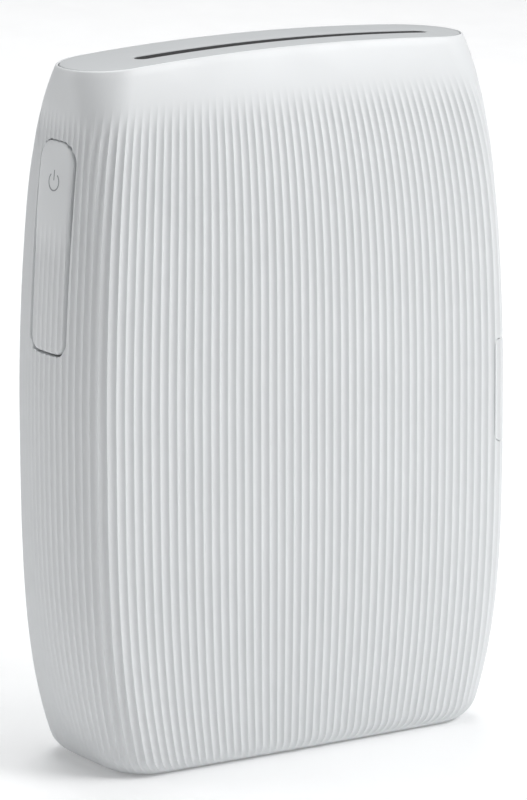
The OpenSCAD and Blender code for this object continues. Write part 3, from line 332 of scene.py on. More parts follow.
def finished(obj, name, body, material, sharp=35, nodes=()):
    """Scales a piece to metres, smooths it, and hangs it on its body."""
    obj.name = name
    obj.data.name = name
    obj.data.transform(Matrix.Scale(MM, 4))
    obj.data.shade_smooth()
    obj.data.set_sharp_from_angle(angle=math.radians(sharp))
    obj.data.materials.clear()
    obj.data.materials.append(material)
    for p in obj.data.polygons:
        p.material_index = 0
    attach(obj, body)
    if nodes:
        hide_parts(*nodes)
    return obj


# Procedural materials


class Shader:
    """A principled material built from small named steps."""

    # Most of a noise's values lie between these
    NOISE_LOW, NOISE_HIGH = 0.3, 0.7

    def __init__(self, name, color, roughness, **sockets):
        self.material = bpy.data.materials.new(name)
        self.material.use_nodes = True
        self.tree = self.material.node_tree
        self.bsdf = self.tree.nodes["Principled BSDF"]
        self.bsdf.inputs["Base Color"].default_value = (*color, 1)
        self.bsdf.inputs["Roughness"].default_value = roughness
        for key, value in sockets.items():
            self.bsdf.inputs[key.replace("_", " ")].default_value = value
        self.color = color
        self.roughness = roughness
        self.coords = self.tree.nodes.new("ShaderNodeTexCoord").outputs["Object"]

    def node(self, kind, **props):
        made = self.tree.nodes.new(kind)
        for key, value in props.items():
            setattr(made, key, value)
        return made

    def link(self, a, b):
        self.tree.links.new(a, b)

    def noise(self, scale, detail=3.0, stretch=(1, 1, 1)):
        mapping = self.node("ShaderNodeMapping")
        mapping.inputs["Scale"].default_value = stretch
        self.link(self.coords, mapping.inputs["Vector"])
        noise = self.node("ShaderNodeTexNoise")
        noise.inputs["Scale"].default_value = scale
        noise.inputs["Detail"].default_value = detail
        self.link(mapping.outputs["Vector"], noise.inputs["Vector"])
        return noise.outputs["Fac"]

    def spread(self, fac, low, high):
        """Stretches a noise to run from low to high."""
        ramp = self.node("ShaderNodeMapRange")
        ramp.inputs["From Min"].default_value = self.NOISE_LOW
        ramp.inputs["From Max"].default_value = self.NOISE_HIGH
        ramp.inputs["To Min"].default_value = low
        ramp.inputs["To Max"].default_value = high
        self.link(fac, ramp.inputs["Value"])
        return ramp.outputs["Result"]

    def tint(self, fac, amount):
        """Varies the colour a little along a factor."""
        blend = self.node("ShaderNodeMix", data_type="RGBA")
        dark = [max(0, c * (1 - amount)) for c in self.color]
        light = [min(1, c * (1 + amount)) for c in self.color]
        blend.inputs["A"].default_value = (*dark, 1)
        blend.inputs["B"].default_value = (*light, 1)
        self.link(self.spread(fac, 0, 1), blend.inputs["Factor"])
        self.link(blend.outputs["Result"], self.bsdf.inputs["Base Color"])

    def gloss(self, fac, amount):
        """Varies the roughness a little along a factor."""
        varied = self.spread(fac, self.roughness - amount, self.roughness + amount)
        self.link(varied, self.bsdf.inputs["Roughness"])

    def grain(self, fac, distance, strength=0.5):
        """Adds a fine bump, with its height in metres."""
        bump = self.node("ShaderNodeBump")
        bump.inputs["Strength"].default_value = strength
        bump.inputs["Distance"].default_value = distance
        self.link(fac, bump.inputs["Height"])
        self.link(bump.outputs["Normal"], self.bsdf.inputs["Normal"])


def moulded(name, color, roughness, grain_scale=5200, grain=0.00002, tint=0.015, **sockets):
    """Satin moulded plastic: fine spark-eroded grain, faint flow marks and uneven gloss."""
    s = Shader(name, color, roughness, **sockets)
    s.tint(s.noise(scale=45, detail=4), tint)
    s.gloss(s.noise(scale=160, detail=3), amount=0.05)
    s.grain(s.noise(grain_scale, detail=2), grain)
    return s.material


def metal(name, color, roughness, stretch=(1, 1, 1)):
    """Rolled or turned metal: streaks along one direction and uneven gloss."""
    s = Shader(name, color, roughness, Metallic=1.0)
    s.tint(s.noise(scale=120, detail=4), amount=0.06)
    s.gloss(s.noise(scale=900, detail=3, stretch=stretch), amount=0.09)
    s.grain(s.noise(scale=1800, detail=2, stretch=stretch), distance=0.000008, strength=0.35)
    return s.material


def felt(name, color):
    """Short dense pile that takes the light at its edges."""
    s = Shader(name, color, roughness=0.95, Sheen_Weight=0.5)
    s.tint(s.noise(scale=2600, detail=4), amount=0.25)
    s.grain(s.noise(scale=6000, detail=3), distance=0.00012, strength=0.9)
    return s.material


def printed_board(name):
    """Solder mask over a grid of fine traces."""
    s = Shader(name, (0.012, 0.16, 0.07), roughness=0.32)
    brick = s.node("ShaderNodeTexBrick")
    brick.inputs["Scale"].default_value = 330
    brick.inputs["Mortar Size"].default_value = 0.08
    brick.inputs["Color1"].default_value = (0.010, 0.13, 0.055, 1)
    brick.inputs["Color2"].default_value = (0.014, 0.17, 0.075, 1)
    brick.inputs["Mortar"].default_value = (0.03, 0.26, 0.12, 1)
    mapping = s.node("ShaderNodeMapping")
    mapping.inputs["Rotation"].default_value = (math.pi / 2, 0, 0)
    s.link(s.coords, mapping.inputs["Vector"])
    s.link(mapping.outputs["Vector"], brick.inputs["Vector"])
    s.link(brick.outputs["Color"], s.bsdf.inputs["Base Color"])
    s.gloss(s.noise(scale=300, detail=3), amount=0.06)
    s.grain(brick.outputs["Fac"], distance=0.00003, strength=0.4)
    return s.material


def lens_glass(name):
    """Pale clear glass, unevenly polished."""
    s = Shader(name, (0.75, 0.85, 0.95), roughness=0.08, Transmission_Weight=0.8, IOR=1.5)
    s.gloss(s.noise(scale=400, detail=2), amount=0.03)
    return s.material


SHELL = moulded("shell_white", (0.785, 0.80, 0.81), 0.42)
BUTTON = moulded("button_white", (0.775, 0.79, 0.80), 0.40)
CAP = moulded("cap_grey", (0.46, 0.475, 0.485), 0.5)
MARK = moulded("mark_grey", (0.30, 0.31, 0.325), 0.45)
BLACK = moulded("black_plastic", (0.018, 0.018, 0.02), 0.45, grain_scale=3000, grain=0.00004, tint=0.08)
LINER = moulded("liner_grey", (0.05, 0.05, 0.055), 0.5, grain_scale=2600, grain=0.00005, tint=0.08)
CHIP = moulded("chip_epoxy", (0.015, 0.015, 0.016), 0.6, grain_scale=3500, grain=0.00004, tint=0.1)
NYLON = moulded("gear_nylon", (0.78, 0.75, 0.66), 0.38, grain_scale=2400, grain=0.00003, tint=0.03,
                Subsurface_Weight=0.12)
CELL = moulded("cell_wrap", (0.10, 0.13, 0.19), 0.28, grain_scale=1200, grain=0.00003, tint=0.05)
FLEX = moulded("flex_amber", (0.50, 0.20, 0.03), 0.25, grain_scale=1500, grain=0.00002, tint=0.06)
STEEL = metal("steel_rolled", (0.60, 0.60, 0.61), 0.3, stretch=(1, 1, 12))
TURNED = metal("steel_turned", (0.66, 0.66, 0.67), 0.24, stretch=(14, 1, 1))
BRASS = metal("brass_turned", (0.78, 0.58, 0.26), 0.27, stretch=(14, 1, 1))
SPRING = metal("spring_wire", (0.55, 0.55, 0.56), 0.26)
# Dark felt: real felt on the slot seals, and painted shade on the cap's outer wall and in its slot
FELT_AND_SHADE = felt("slot_felt", (0.035, 0.035, 0.037))
BOARD = printed_board("board_green")
GLASS = lens_glass("rod_lens")


# Stock: the casing as one ribbed solid, and the smooth solids that hollow it

# Rings of the casing in the foot's curve, up the side, where the ribs fade, and above them
FOOT_RINGS, SIDE_RINGS, FADE_RINGS, TOP_RINGS = 9, 42, 8, 6
# Where the rim's rounding starts below the top, and its rings as (drop, inset), ending flat inside
RIM_START = 0.25
RIM_EDGE = ((0.1, 0.06), (0.03, 0.14), (0.0, 0.26), (0.0, 3.0))


def rounding(r, h):
    """Inset of a rounded bottom edge of radius r at height h above its lowest point."""
    return r - math.sqrt(max(r**2 - (r - h) ** 2, 0)) if h < r else 0.0


def levels():
    """Heights of the casing's rings, up to where its rim is rounded."""
    foot = [FOOT_R * (1 - math.cos(a)) for a in np.linspace(0, math.pi / 2, FOOT_RINGS)]
    side = list(np.linspace(FOOT_R, RIB_FULL_Z, SIDE_RINGS)[1:])
    fade = list(np.linspace(RIB_FULL_Z, RIB_END_Z, FADE_RINGS)[1:])
    top = list(np.linspace(RIB_END_Z, BODY_H - RIM_START, TOP_RINGS)[1:])
    return foot + side + fade + top


def ribbed_stock():
    """The whole casing as one solid, with its ribs."""
    rings = [body_ring(z, rounding(FOOT_R, z)) for z in levels()]
    rings += [body_ring(BODY_H - drop, inset, fade=0) for drop, inset in RIM_EDGE]
    return loft("stock", rings)


def inner_stock(inset, foot_rings=5, side_rings=26, over=4):
    """Smooth solid that fills the casing to within inset of its skin and stands out of its top."""
    r = FOOT_R - inset
    rings = []
    for a in np.linspace(0, math.pi / 2, foot_rings):
        z = inset + r * (1 - math.cos(a))
        rings.append(smooth_ring(z, inset + rounding(r, z - inset)))
    for z in list(np.linspace(FOOT_R, BODY_H, side_rings)[1:]) + [BODY_H + over]:
        rings.append(smooth_ring(z, inset))
    return loft("tool", rings)


def cap_pocket(points=720):
    """Room for the cap, with a small chamfer on the rim."""
    chamfer, chamfer_drop, over = 0.12, 0.22, 3.0
    mouth = RIM - chamfer
    g = np.arange(points) / points
    rings = []
    for inset, dz in ((RIM, -CAP_T - TOUCH), (RIM, -chamfer_drop), (mouth, 0.0), (mouth, over)):
        rings.append(place(around(g, outline(BODY_H, inset)), BODY_H) + np.array([0, 0, dz]))
    return loft("tool", rings)


# Panels are outlined on the skin, and the side walls of their tools follow it

# Parts of the outline, as fractions counted from the front middle to the right and on round
RIGHT_FRONT = (0.0, 0.25)
RIGHT_SIDE = (0.2, 0.4)
BACK = (0.27, 0.73)
LEFT_SIDE = (0.62, 0.88)
# Sizes of the rings that close a panel's curved ends, as shares of its outline
END_SIZES = (0.8, 0.6, 0.4, 0.2, 0.02)


def perimeter(z, samples=2000):
    """Length round the body at a height."""
    p = around(np.arange(samples) / samples, outline(z))
    return float(np.linalg.norm(p - np.roll(p, 1, 0), axis=1).sum())


@lru_cache(maxsize=None)
def skin_samples(axis, z, part, samples=1500):
    """Values of x (axis 0) or y (axis 1) along part of the outline, in rising order, and their fractions."""
    g = np.linspace(*part, samples)
    p = around(g, outline(z))[:, axis]
    order = np.argsort(p)
    return p[order], g[order]


def g_at(axis, value, z, part):
    """Fraction of the outline, within part of it, where x (axis 0) or y (axis 1) has a value."""
    return float(np.interp(value, *skin_samples(axis, float(z), part)))


def corner_points(spans, radii, grow, arc_points=9, least_r=0.05):
    """Rounded rectangle; radii are for low-left, low-right, top-right and top-left."""
    s0, s1, z0, z1 = spans[0] - grow, spans[1] + grow, spans[2] - grow, spans[3] + grow
    corners = [(s0, z0, 1, 1, 2), (s1, z0, -1, 1, 3), (s1, z1, -1, -1, 0), (s0, z1, 1, -1, 1)]
    points = []
    for (s, z, ds, dz, quarter_turns), r in zip(corners, radii):
        r = max(r + grow, least_r)
        for a in (quarter_turns + np.linspace(0, 1, arc_points)) * math.pi / 2:
            points.append((s + r * (ds + math.cos(a)), z + r * (dz + math.sin(a))))
    return points


def panel_tool(spans, radii, profile, to_g, spacing=0.8, curved_ends=False):
    """Solid over a panel's outline; profile lists (grow, depth below the skin) from outside to inside.

    Curved ends follow the skin too, for a panel that wraps round a corner of the body.
    """
    base = corner_points(spans, radii, 0.0)
    counts = [max(1, round(math.dist(p, q) / spacing)) for p, q in zip(base, base[1:] + base[:1])]
    middle = ((spans[0] + spans[1]) / 2, (spans[2] + spans[3]) / 2)
    shrink = END_SIZES if curved_ends else ()
    steps = [(*profile[0], size) for size in shrink[::-1]]
    steps += [(*step, 1.0) for step in profile]
    steps += [(*profile[-1], size) for size in shrink]
    rings = []
    for grow, depth, size in steps:
        points = []
        for s, z in corner_points(spans, radii, grow):
            points.append((mix(middle[0], s, size), mix(middle[1], z, size)))
        ring = []
        for p, q, count in zip(points, points[1:] + points[:1], counts):
            for t in range(count):
                s = mix(p[0], q[0], t / count)
                z = mix(p[1], q[1], t / count)
                ring.append(skin_point(to_g(s, z), z, depth(z) if callable(depth) else depth))
        rings.append(np.array(ring))
    return loft("tool", rings)


def opening_profile(gap, depth):
    """A hole with a softly rounded lip."""
    lip = ((0.28, -ABOVE), (0.28, -0.02), (0.1, 0.06), (0.02, 0.16), (0.0, 0.3))
    return [(gap + grow, inward) for grow, inward in lip] + [(gap, depth)]


def lid_profile(depth):
    """A panel with softly rounded edges."""
    return [(-0.3, -ABOVE), (-0.3, 0.0), (-0.12, 0.05), (-0.03, 0.14), (0.0, 0.3), (0.0, depth)]


# Power button: smooth and flush at its sign, ribbed and slightly sunk towards its lower end

SIGN_Z = 104.0
SMOOTH_END_Z = SIGN_Z - 5
BUTTON_T = 1.4
BUTTON_RADII = (2.6, 2.6, 4.0, 4.0)
BUTTON_INSET, BUTTON_SINK = 0.02, 0.15
# Share of the ribs' depth that the button has, and the height over which its ribs fade in
BUTTON_RIBS, BUTTON_FADE_H = 0.7, 9
button_lo, button_hi = node_box("power_button")
BUTTON_MID_Y = (button_lo[1] + button_hi[1]) / 2
# The visible panel ends higher than its solid, and its front edge lies further back
BUTTON_TOP = button_hi[2] + 0.6
BUTTON_FRONT = button_lo[1] + 0.85
BUTTON_SPANS = (BUTTON_FRONT, button_hi[1], button_lo[2], BUTTON_TOP)


def left_g(y, z):
    """Fraction of the outline at a place on the left side."""
    return g_at(1, y, z, LEFT_SIDE)


def button_sink(z):
    """Depth of the button's face below the skin."""
    t = min(1, max(0, (SMOOTH_END_Z - z) / (SMOOTH_END_Z - button_lo[2])))
    return mix(BUTTON_INSET, BUTTON_SINK, t)


def button_block(deeper, ribs=BUTTON_RIBS, rings=50, below=1, over=3):
    """The body's stock behind the button's face, as deep below it as asked."""
    block = []
    for z in np.linspace(button_lo[2] - below, BUTTON_TOP + over, rings):
        fade = ribs * smooth01((SMOOTH_END_Z - z) / BUTTON_FADE_H)
        block.append(body_ring(z, inward=button_sink(z) + deeper, fade=fade))
    return loft("tool", block)


def button_edge(depth, roll=1.0, arc_points=7):
    """The edge is crisp at the top and rolls over more towards the sunk lower end."""
    crisp, soft_from, soft_over = 0.3, SIGN_Z - 4, 8

    def rolled(fall):
        return lambda z: fall * mix(crisp, 1.0, smooth01((soft_from - z) / soft_over)) + button_sink(z)

    profile = [(-roll, -ABOVE)]
    for a in np.linspace(0, math.pi / 2, arc_points):
        profile.append((-roll * (1 - math.sin(a)), rolled(roll * (1 - math.cos(a)))))
    return profile + [(0.0, lambda z: depth + button_sink(z))]


def power_button():
    """Panel with two lugs on its hinge pin and a nub that presses the switch's plunger."""
    panel = button_block(0)
    combine(panel, button_block(BUTTON_T, ribs=0))
    combine(panel, panel_tool(BUTTON_SPANS, BUTTON_RADII, button_edge(depth=4), left_g), "INTERSECT")
    pin = centre_of("button_pin", 0, 2)
    lug_r, lug_w, lug_y, web_in = 1.3, 2.0, 3.0, 1.9
    for side in (-1, 1):
        y = BUTTON_MID_Y + side * lug_y
        lug = rod(1, lug_r, pin, y - lug_w / 2, y + lug_w / 2)
        web_lo = [-BODY_W / 2 + web_in, y - lug_w / 2, pin[1] - lug_r]
        web = box(web_lo, [pin[0], y + lug_w / 2, pin[1] + lug_r])
        combine(lug, web, "UNION")
        combine(panel, lug, "UNION")
    nub_r, nub_in, nub_gap = 1.5, 1.0, 0.1
    plunger_x = node_box("switch_plunger")[0][0]
    nub = rod(0, nub_r, (BUTTON_MID_Y, SIGN_Z), -outline(SIGN_Z)[0] + nub_in, plunger_x - nub_gap)
    combine(panel, nub, "UNION")
    bore_r = radius_of("button_pin", 2) + PIN_FIT
    combine(panel, rod(1, bore_r, pin, button_lo[1] - 1, button_hi[1] + 1))
    return finished(panel, "power_key_panel", "power_key", BUTTON, nodes=["power_button"])


def power_mark():
    """Thin printed ring and bar, a generic on-off sign."""
    radius, width, proud, sunk = 1.58, 0.24, 0.02, 0.05
    mark_z = SIGN_Z + 0.65
    gap, ring_points = math.radians(38), 41
    bar_from, bar_to, bar_points = 0.25, 2.1, 9
    ring = []
    for a in np.linspace(gap, 2 * math.pi - gap, ring_points):
        across = (math.cos(math.pi / 2 + a), math.sin(math.pi / 2 + a))
        ring.append((BUTTON_MID_Y + radius * across[0], mark_z + radius * across[1], *across))
    bar = [(BUTTON_MID_Y, mark_z + h, 1.0, 0.0) for h in np.linspace(bar_from, bar_to, bar_points)]
    section = ((-width / 2, -proud), (width / 2, -proud), (width / 2, sunk), (-width / 2, sunk))
    parts = []
    for path in (ring, bar):
        rings = []
        for y, z, across_y, across_z in path:
            points = []
            for w, depth in section:
                level = z + across_z * w
                points.append(skin_point(left_g(y + across_y * w, level), level, button_sink(level) + depth))
            rings.append(points)
        parts.append(loft("mark", rings))
    mark = combine(parts[0], parts[1], "UNION")
    return finished(mark, "power_mark", "power_key", MARK)


# Port cover: it wraps round the right front corner and swings on a pin at its rear edge

cover_lo, cover_hi = node_box("port_cover")
PORT_AXIS = centre_of("port_pin", 0, 1)
PORT_PIN_R = radius_of("port_pin", 0)
PORT_MID_Z = (cover_lo[2] + cover_hi[2]) / 2
PORT_LENGTH = perimeter(PORT_MID_Z)
PORT_RADII = (2.2, 0.1, 0.1, 1.4)
PORT_T = 1.4
PORT_GAP = 0.15
PORT_KNUCKLE_R = 0.9
PORT_LUG_H = 6.4
PORT_EAR_H = 2.7
# The visible cover's front edge lies further out than its solid's
PORT_FRONT = cover_lo[0] + 0.5


def port_s(axis, value):
    """Arc length from the front middle to a place on the right side."""
    return g_at(axis, value, PORT_MID_Z, RIGHT_FRONT if axis == 0 else RIGHT_SIDE) * PORT_LENGTH


def port_tool(rear_y, profile):
    """Solid over the port cover's outline, up to a rear edge."""
    spans = (port_s(0, PORT_FRONT), port_s(1, rear_y), cover_lo[2], cover_hi[2])
    return panel_tool(spans, PORT_RADII, profile, lambda s, z: s / PORT_LENGTH, curved_ends=True)


def port_opening():
    """Hole round the cover, with room behind it for the swing of its rear edge."""
    swing = outline(PORT_MID_Z)[0] - PORT_AXIS[0]
    return port_tool(PORT_AXIS[1] + swing + FREE - PANEL_GAP, opening_profile(PORT_GAP, depth=5.0))


def port_cover(stock):
    """Cover with a knuckle on its pin, notched for the two ears that carry the pin."""
    cover = combine(copy_of(stock, "cover"), inner_stock(PORT_T))
    combine(cover, port_tool(PORT_AXIS[1], lid_profile(depth=4.0)), "INTERSECT")
    lug_z = (PORT_MID_Z - PORT_LUG_H / 2, PORT_MID_Z + PORT_LUG_H / 2)
    combine(cover, rod(2, PORT_KNUCKLE_R, PORT_AXIS, *lug_z), "UNION")
    room_x = node_box("port_bezel")[1][0] + FREE
    room_y = PORT_AXIS[1] - PORT_KNUCKLE_R - FREE
    room_h = PORT_EAR_H + 2 * FREE
    for z in (lug_z[0] - room_h, lug_z[1]):
        combine(cover, box([room_x, room_y, z], [BODY_W, BODY_D, z + room_h]))
    combine(cover, rod(2, PORT_PIN_R + PIN_FIT, PORT_AXIS, cover_lo[2] - 1, cover_hi[2] + 1))
    return finished(cover, "port_cover_panel", "port_flap", SHELL, 55, ["port_cover"])


# Rear door: it swings down on two pins near its lower end, and its lip is round about them

door_lo, door_hi = node_box("film_door")
DOOR_HALF = (door_hi[0] - door_lo[0]) / 2
DOOR_TOP = door_hi[2]
DOOR_RADII = (0.1, 0.1, 0.3, 0.3)
DOOR_GAP = 0.3
DOOR_SKIN = 1.4
DOOR_RIM = 1.0
# Flanges of the rear shell stand between these, and the door begins just behind them
FLANGE_Y = (11.7, 12.7)
DOOR_Y = FLANGE_Y[1] + 0.1
hinge = next(j for j in frame["joints"] if j["name"] == "film_door_hinge")
HINGE = (hinge["pos_m"][1] / MM, hinge["pos_m"][2] / MM)
SWING_R = outline(HINGE[1])[1] - HINGE[0]
# The lip reaches down to just below where the skin from this far above the hinge lies in the open door
OPEN_SKIN_UP = 4
LIP_Z = HINGE[1] - (outline(HINGE[1] + OPEN_SKIN_UP)[1] - HINGE[0]) - DOOR_GAP
LIP_SIDES = 96


def rear_g(x, z):
    """Fraction of the outline at a place on the back."""
    return g_at(0, x, z, BACK)


def film_door(stock):
    """Door skin with a rim and a hollow inside, down to the round lip below its hinge."""
    half, inner_half = DOOR_HALF, DOOR_HALF - DOOR_RIM
    # Upright part and round lip, then the same two forms again inside them as one hollow
    outer = box([-half, DOOR_Y, HINGE[1]], [half, BIG, DOOR_TOP])
    lip = rod(0, SWING_R, HINGE, -half, half, LIP_SIDES)
    combine(lip, box([-BIG, HINGE[0], LIP_Z], [BIG, BIG, HINGE[1] + FINE]), "INTERSECT")
    combine(outer, lip, "UNION")
    hollow = inner_stock(DOOR_SKIN)
    rim_z = DOOR_TOP - DOOR_RIM
    combine(hollow, box([-inner_half, DOOR_Y - 1, HINGE[1]], [inner_half, BIG, rim_z]), "INTERSECT")
    combine(outer, hollow)
    tunnel = inner_stock(DOOR_SKIN)
    combine(tunnel, rod(0, SWING_R - DOOR_SKIN, HINGE, -inner_half, inner_half, LIP_SIDES), "INTERSECT")
    combine(outer, tunnel)
    # The door takes its skin from the body, and its edges are rounded last
    door = combine(copy_of(stock, "door"), outer, "INTERSECT")
    spans = (-half, half, LIP_Z - 3, DOOR_TOP)
    edges = panel_tool(spans, DOOR_RADII, lid_profile(depth=5.5), rear_g, spacing=2.5, curved_ends=True)
    combine(door, edges, "INTERSECT")
    latch_fittings(door, stock)
    return finished(door, "film_door_panel", "rear_door", SHELL, 55, ["film_door"])


def latch_fittings(door, stock):
    """Recess for the finger slide, its guides, the spring post and the liner's stakes."""
    half = node_box("latch_slider")[1][0]
    travel = 2.5
    blade_z = (DOOR_TOP - 9.8, DOOR_TOP - 1.2)
    blade_t, floor_t = 1.0, 1.0
    back_y = DOOR_Y + blade_t + FREE
    floor_y = back_y + floor_t
    recess_z = (blade_z[0] - travel, blade_z[1] - 0.3)

    # Solid seat round the recess
    seat_rim, seat_top = 1, 1.2
    seat_lo = [-half - seat_rim, back_y, recess_z[0] - seat_rim]
    seat_hi = [half + seat_rim, BIG, recess_z[1] + seat_top]
    combine(door, combine(copy_of(stock, "tool"), box(seat_lo, seat_hi), "INTERSECT"), "UNION")

    # Post for the spring, guides beside the blade, and the stakes with their shoulders
    post_half, post_z = 2, (blade_z[0] - 7.8, blade_z[0] - 6.3)
    fittings = box([-post_half, DOOR_Y, post_z[0]], [post_half, BIG, post_z[1]])
    guide_x, guide_half, guide_top = half + 0.8, 0.5, DOOR_TOP - 0.5
    for x in (-guide_x, guide_x):
        guide = box([x - guide_half, DOOR_Y, recess_z[0]], [x + guide_half, BIG, guide_top])
        combine(fittings, guide, "UNION")
    shoulder_r, shoulder_y = 1.7, FLANGE_Y[1] + 0.05
    stake_r, stake_y = 0.9, FLANGE_Y[0] + 0.2
    stake_x, stake_z = 22, (30, 85)
    for x in (FILM_X - stake_x, FILM_X + stake_x):
        for z in stake_z:
            combine(fittings, rod(1, shoulder_r, (x, z), shoulder_y, BODY_D / 2), "UNION")
            combine(fittings, rod(1, stake_r, (x, z), stake_y, BODY_D / 2), "UNION")
    combine(fittings, inner_stock(DOOR_SKIN / 2), "INTERSECT")
    combine(door, fittings, "UNION")

    # The recess itself, and the slots for the slide's neck and tongue
    pocket_r = 1.2
    combine(door, soft_pocket((-half, half, *recess_z), floor_y, pocket_r))
    neck_half, neck_z, neck_gap = 3.0, (blade_z[0] + 2, blade_z[0] + 6), 0.2
    neck_lo = [-neck_half - neck_gap, back_y - 1, neck_z[0] - travel - neck_gap]
    combine(door, box(neck_lo, [neck_half + neck_gap, BIG, neck_z[1] + neck_gap]))
    tongue_half, tongue_h = 6.4, 3
    tongue_lo = [-tongue_half, DOOR_Y - 1, DOOR_TOP - tongue_h]
    combine(door, box(tongue_lo, [tongue_half, back_y, DOOR_TOP + 1]))


def soft_pocket(spans, floor_y, r):
    """Rounded pocket in the back of the door, with a soft lip on the skin."""
    rings = []
    for grow, depth in opening_profile(gap=0.0, depth=0.3)[:-1]:
        rings.append([skin_point(rear_g(s, z), z, depth) for s, z in corner_points(spans, (r,) * 4, grow)])
    rings.append([(s, floor_y, z) for s, z in corner_points(spans, (r,) * 4, 0.0)])
    return loft("tool", rings)


# Casing shells


def shell_half(stock, keep_front):
    """Front or rear half of the hollow casing, with the cap's pocket in it."""
    half = combine(copy_of(stock, "half"), inner_stock(WALL))
    if keep_front:
        combine(half, box([-BIG, SPLIT_Y, -BIG], [BIG, BIG, BIG]))
    else:
        combine(half, box([-BIG, -BIG, -BIG], [BIG, SPLIT_Y + SEAM / 2, BIG]))
    combine(half, cap_pocket())
    return half


def front_casing(stock):
    """Front shell, with its openings for the power button and the port cover."""
    shell = shell_half(stock, keep_front=True)
    front_room, rear_trim = 0.35, 0.12
    spans = (BUTTON_FRONT - front_room, button_hi[1] - rear_trim, button_lo[2], BUTTON_TOP)
    combine(shell, panel_tool(spans, BUTTON_RADII, opening_profile(PANEL_GAP, depth=6.0), left_g))
    combine(shell, port_opening())
    return finished(shell, "front_casing", "case", SHELL, 55, ["front_shell"])


def rear_casing(stock):
    """Rear shell: a frame round the door, with flanges inside it and a window for the film pack."""
    shell = shell_half(stock, keep_front=False)
    gap_half, gap_top = DOOR_HALF + DOOR_GAP, DOOR_TOP + DOOR_GAP
    frame_z = (10.2, DOOR_TOP + 2)
    header_t = 1.3
    # Flange inside the door, side walls and a header round it, all within the skin
    inside = box([-BIG, FLANGE_Y[0], frame_z[0]], [BIG, FLANGE_Y[1], frame_z[1]])
    for x in ((-BODY_W / 2, -gap_half), (gap_half, BODY_W / 2)):
        combine(inside, box([x[0], FLANGE_Y[0], frame_z[0]], [x[1], BIG, frame_z[1]]), "UNION")
    header_half = DOOR_HALF + WALL
    header = box([-header_half, FLANGE_Y[0], gap_top], [header_half, BIG, gap_top + header_t])
    combine(inside, header, "UNION")
    combine(inside, inner_stock(WALL / 2), "INTERSECT")
    combine(shell, inside, "UNION")
    # Window for the film pack, the door's opening, and room for its lip
    head_lo, head_hi = node_box("exposure_head")
    sill_z, lintel_z = 9.8, 104.4
    window = box([head_lo[0], FLANGE_Y[0] - 1, sill_z], [head_hi[0], FLANGE_Y[1] + FINE, lintel_z])
    combine(shell, window)
    lip_room_y = 10
    combine(shell, box([-gap_half, FLANGE_Y[1], LIP_Z], [gap_half, BIG, gap_top]))
    combine(shell, box([-gap_half, lip_room_y, LIP_Z], [gap_half, BIG, sill_z]))
    combine(shell, port_opening())
    return finished(shell, "rear_casing", "case", SHELL, 55, ["rear_shell"])


# Top cap: one loft from its outer edge over the arch, through the slot and back underneath

# Outer edge as (inset, drop), and the flat face's ends: its inset there, and (grow, back) at the slot
CAP_EDGE = ((0.0, CAP_T), (0.0, 0.2), (0.05, 0.07), (0.16, 0.01))
FACE_INSET = 0.3
FACE_END = (1.1, 0.12)
# The slot's rolled mouth as (grow, back, drop), its throat as (grow, drop), and the chute below it
SLOT_MOUTH = ((0.97, 0.1, 0.03), (0.87, 0.06, 0.1), (0.8, 0.03, 0.2))
SLOT_THROAT = ((0.45, 0.7), (0.0, 1.25))
CHUTE_WALL = 1.2
CHUTE_FOOT_Z = 116.4
CHUTE_CHAMFER = 0.1
COLLAR_H = 5.5
COLLAR_T = 1.0


def slot_outline(g, grow, back):
    """Points round the slot, grown and moved back, in step with the fractions of the body's outline."""
    r = SLOT_W / 2 + grow
    straight = (SLOT_L - SLOT_W) / 2
    total = 4 * straight + 2 * math.pi * r
    points = []
    for s in g * total:
        if s < straight:
            p = (s, -r)
        elif s < straight + math.pi * r:
            a = (s - straight) / r
            p = (straight + r * math.sin(a), -r * math.cos(a))
        elif s < 3 * straight + math.pi * r:
            p = (straight - (s - straight - math.pi * r), r)
        elif s < 3 * straight + 2 * math.pi * r:
            a = (s - 3 * straight - math.pi * r) / r
            p = (-straight - r * math.sin(a), r * math.cos(a))
        else:
            p = (s - total, -r)
        points.append((FILM_X + p[0], FILM_Y + back + p[1]))
    return np.array(points)


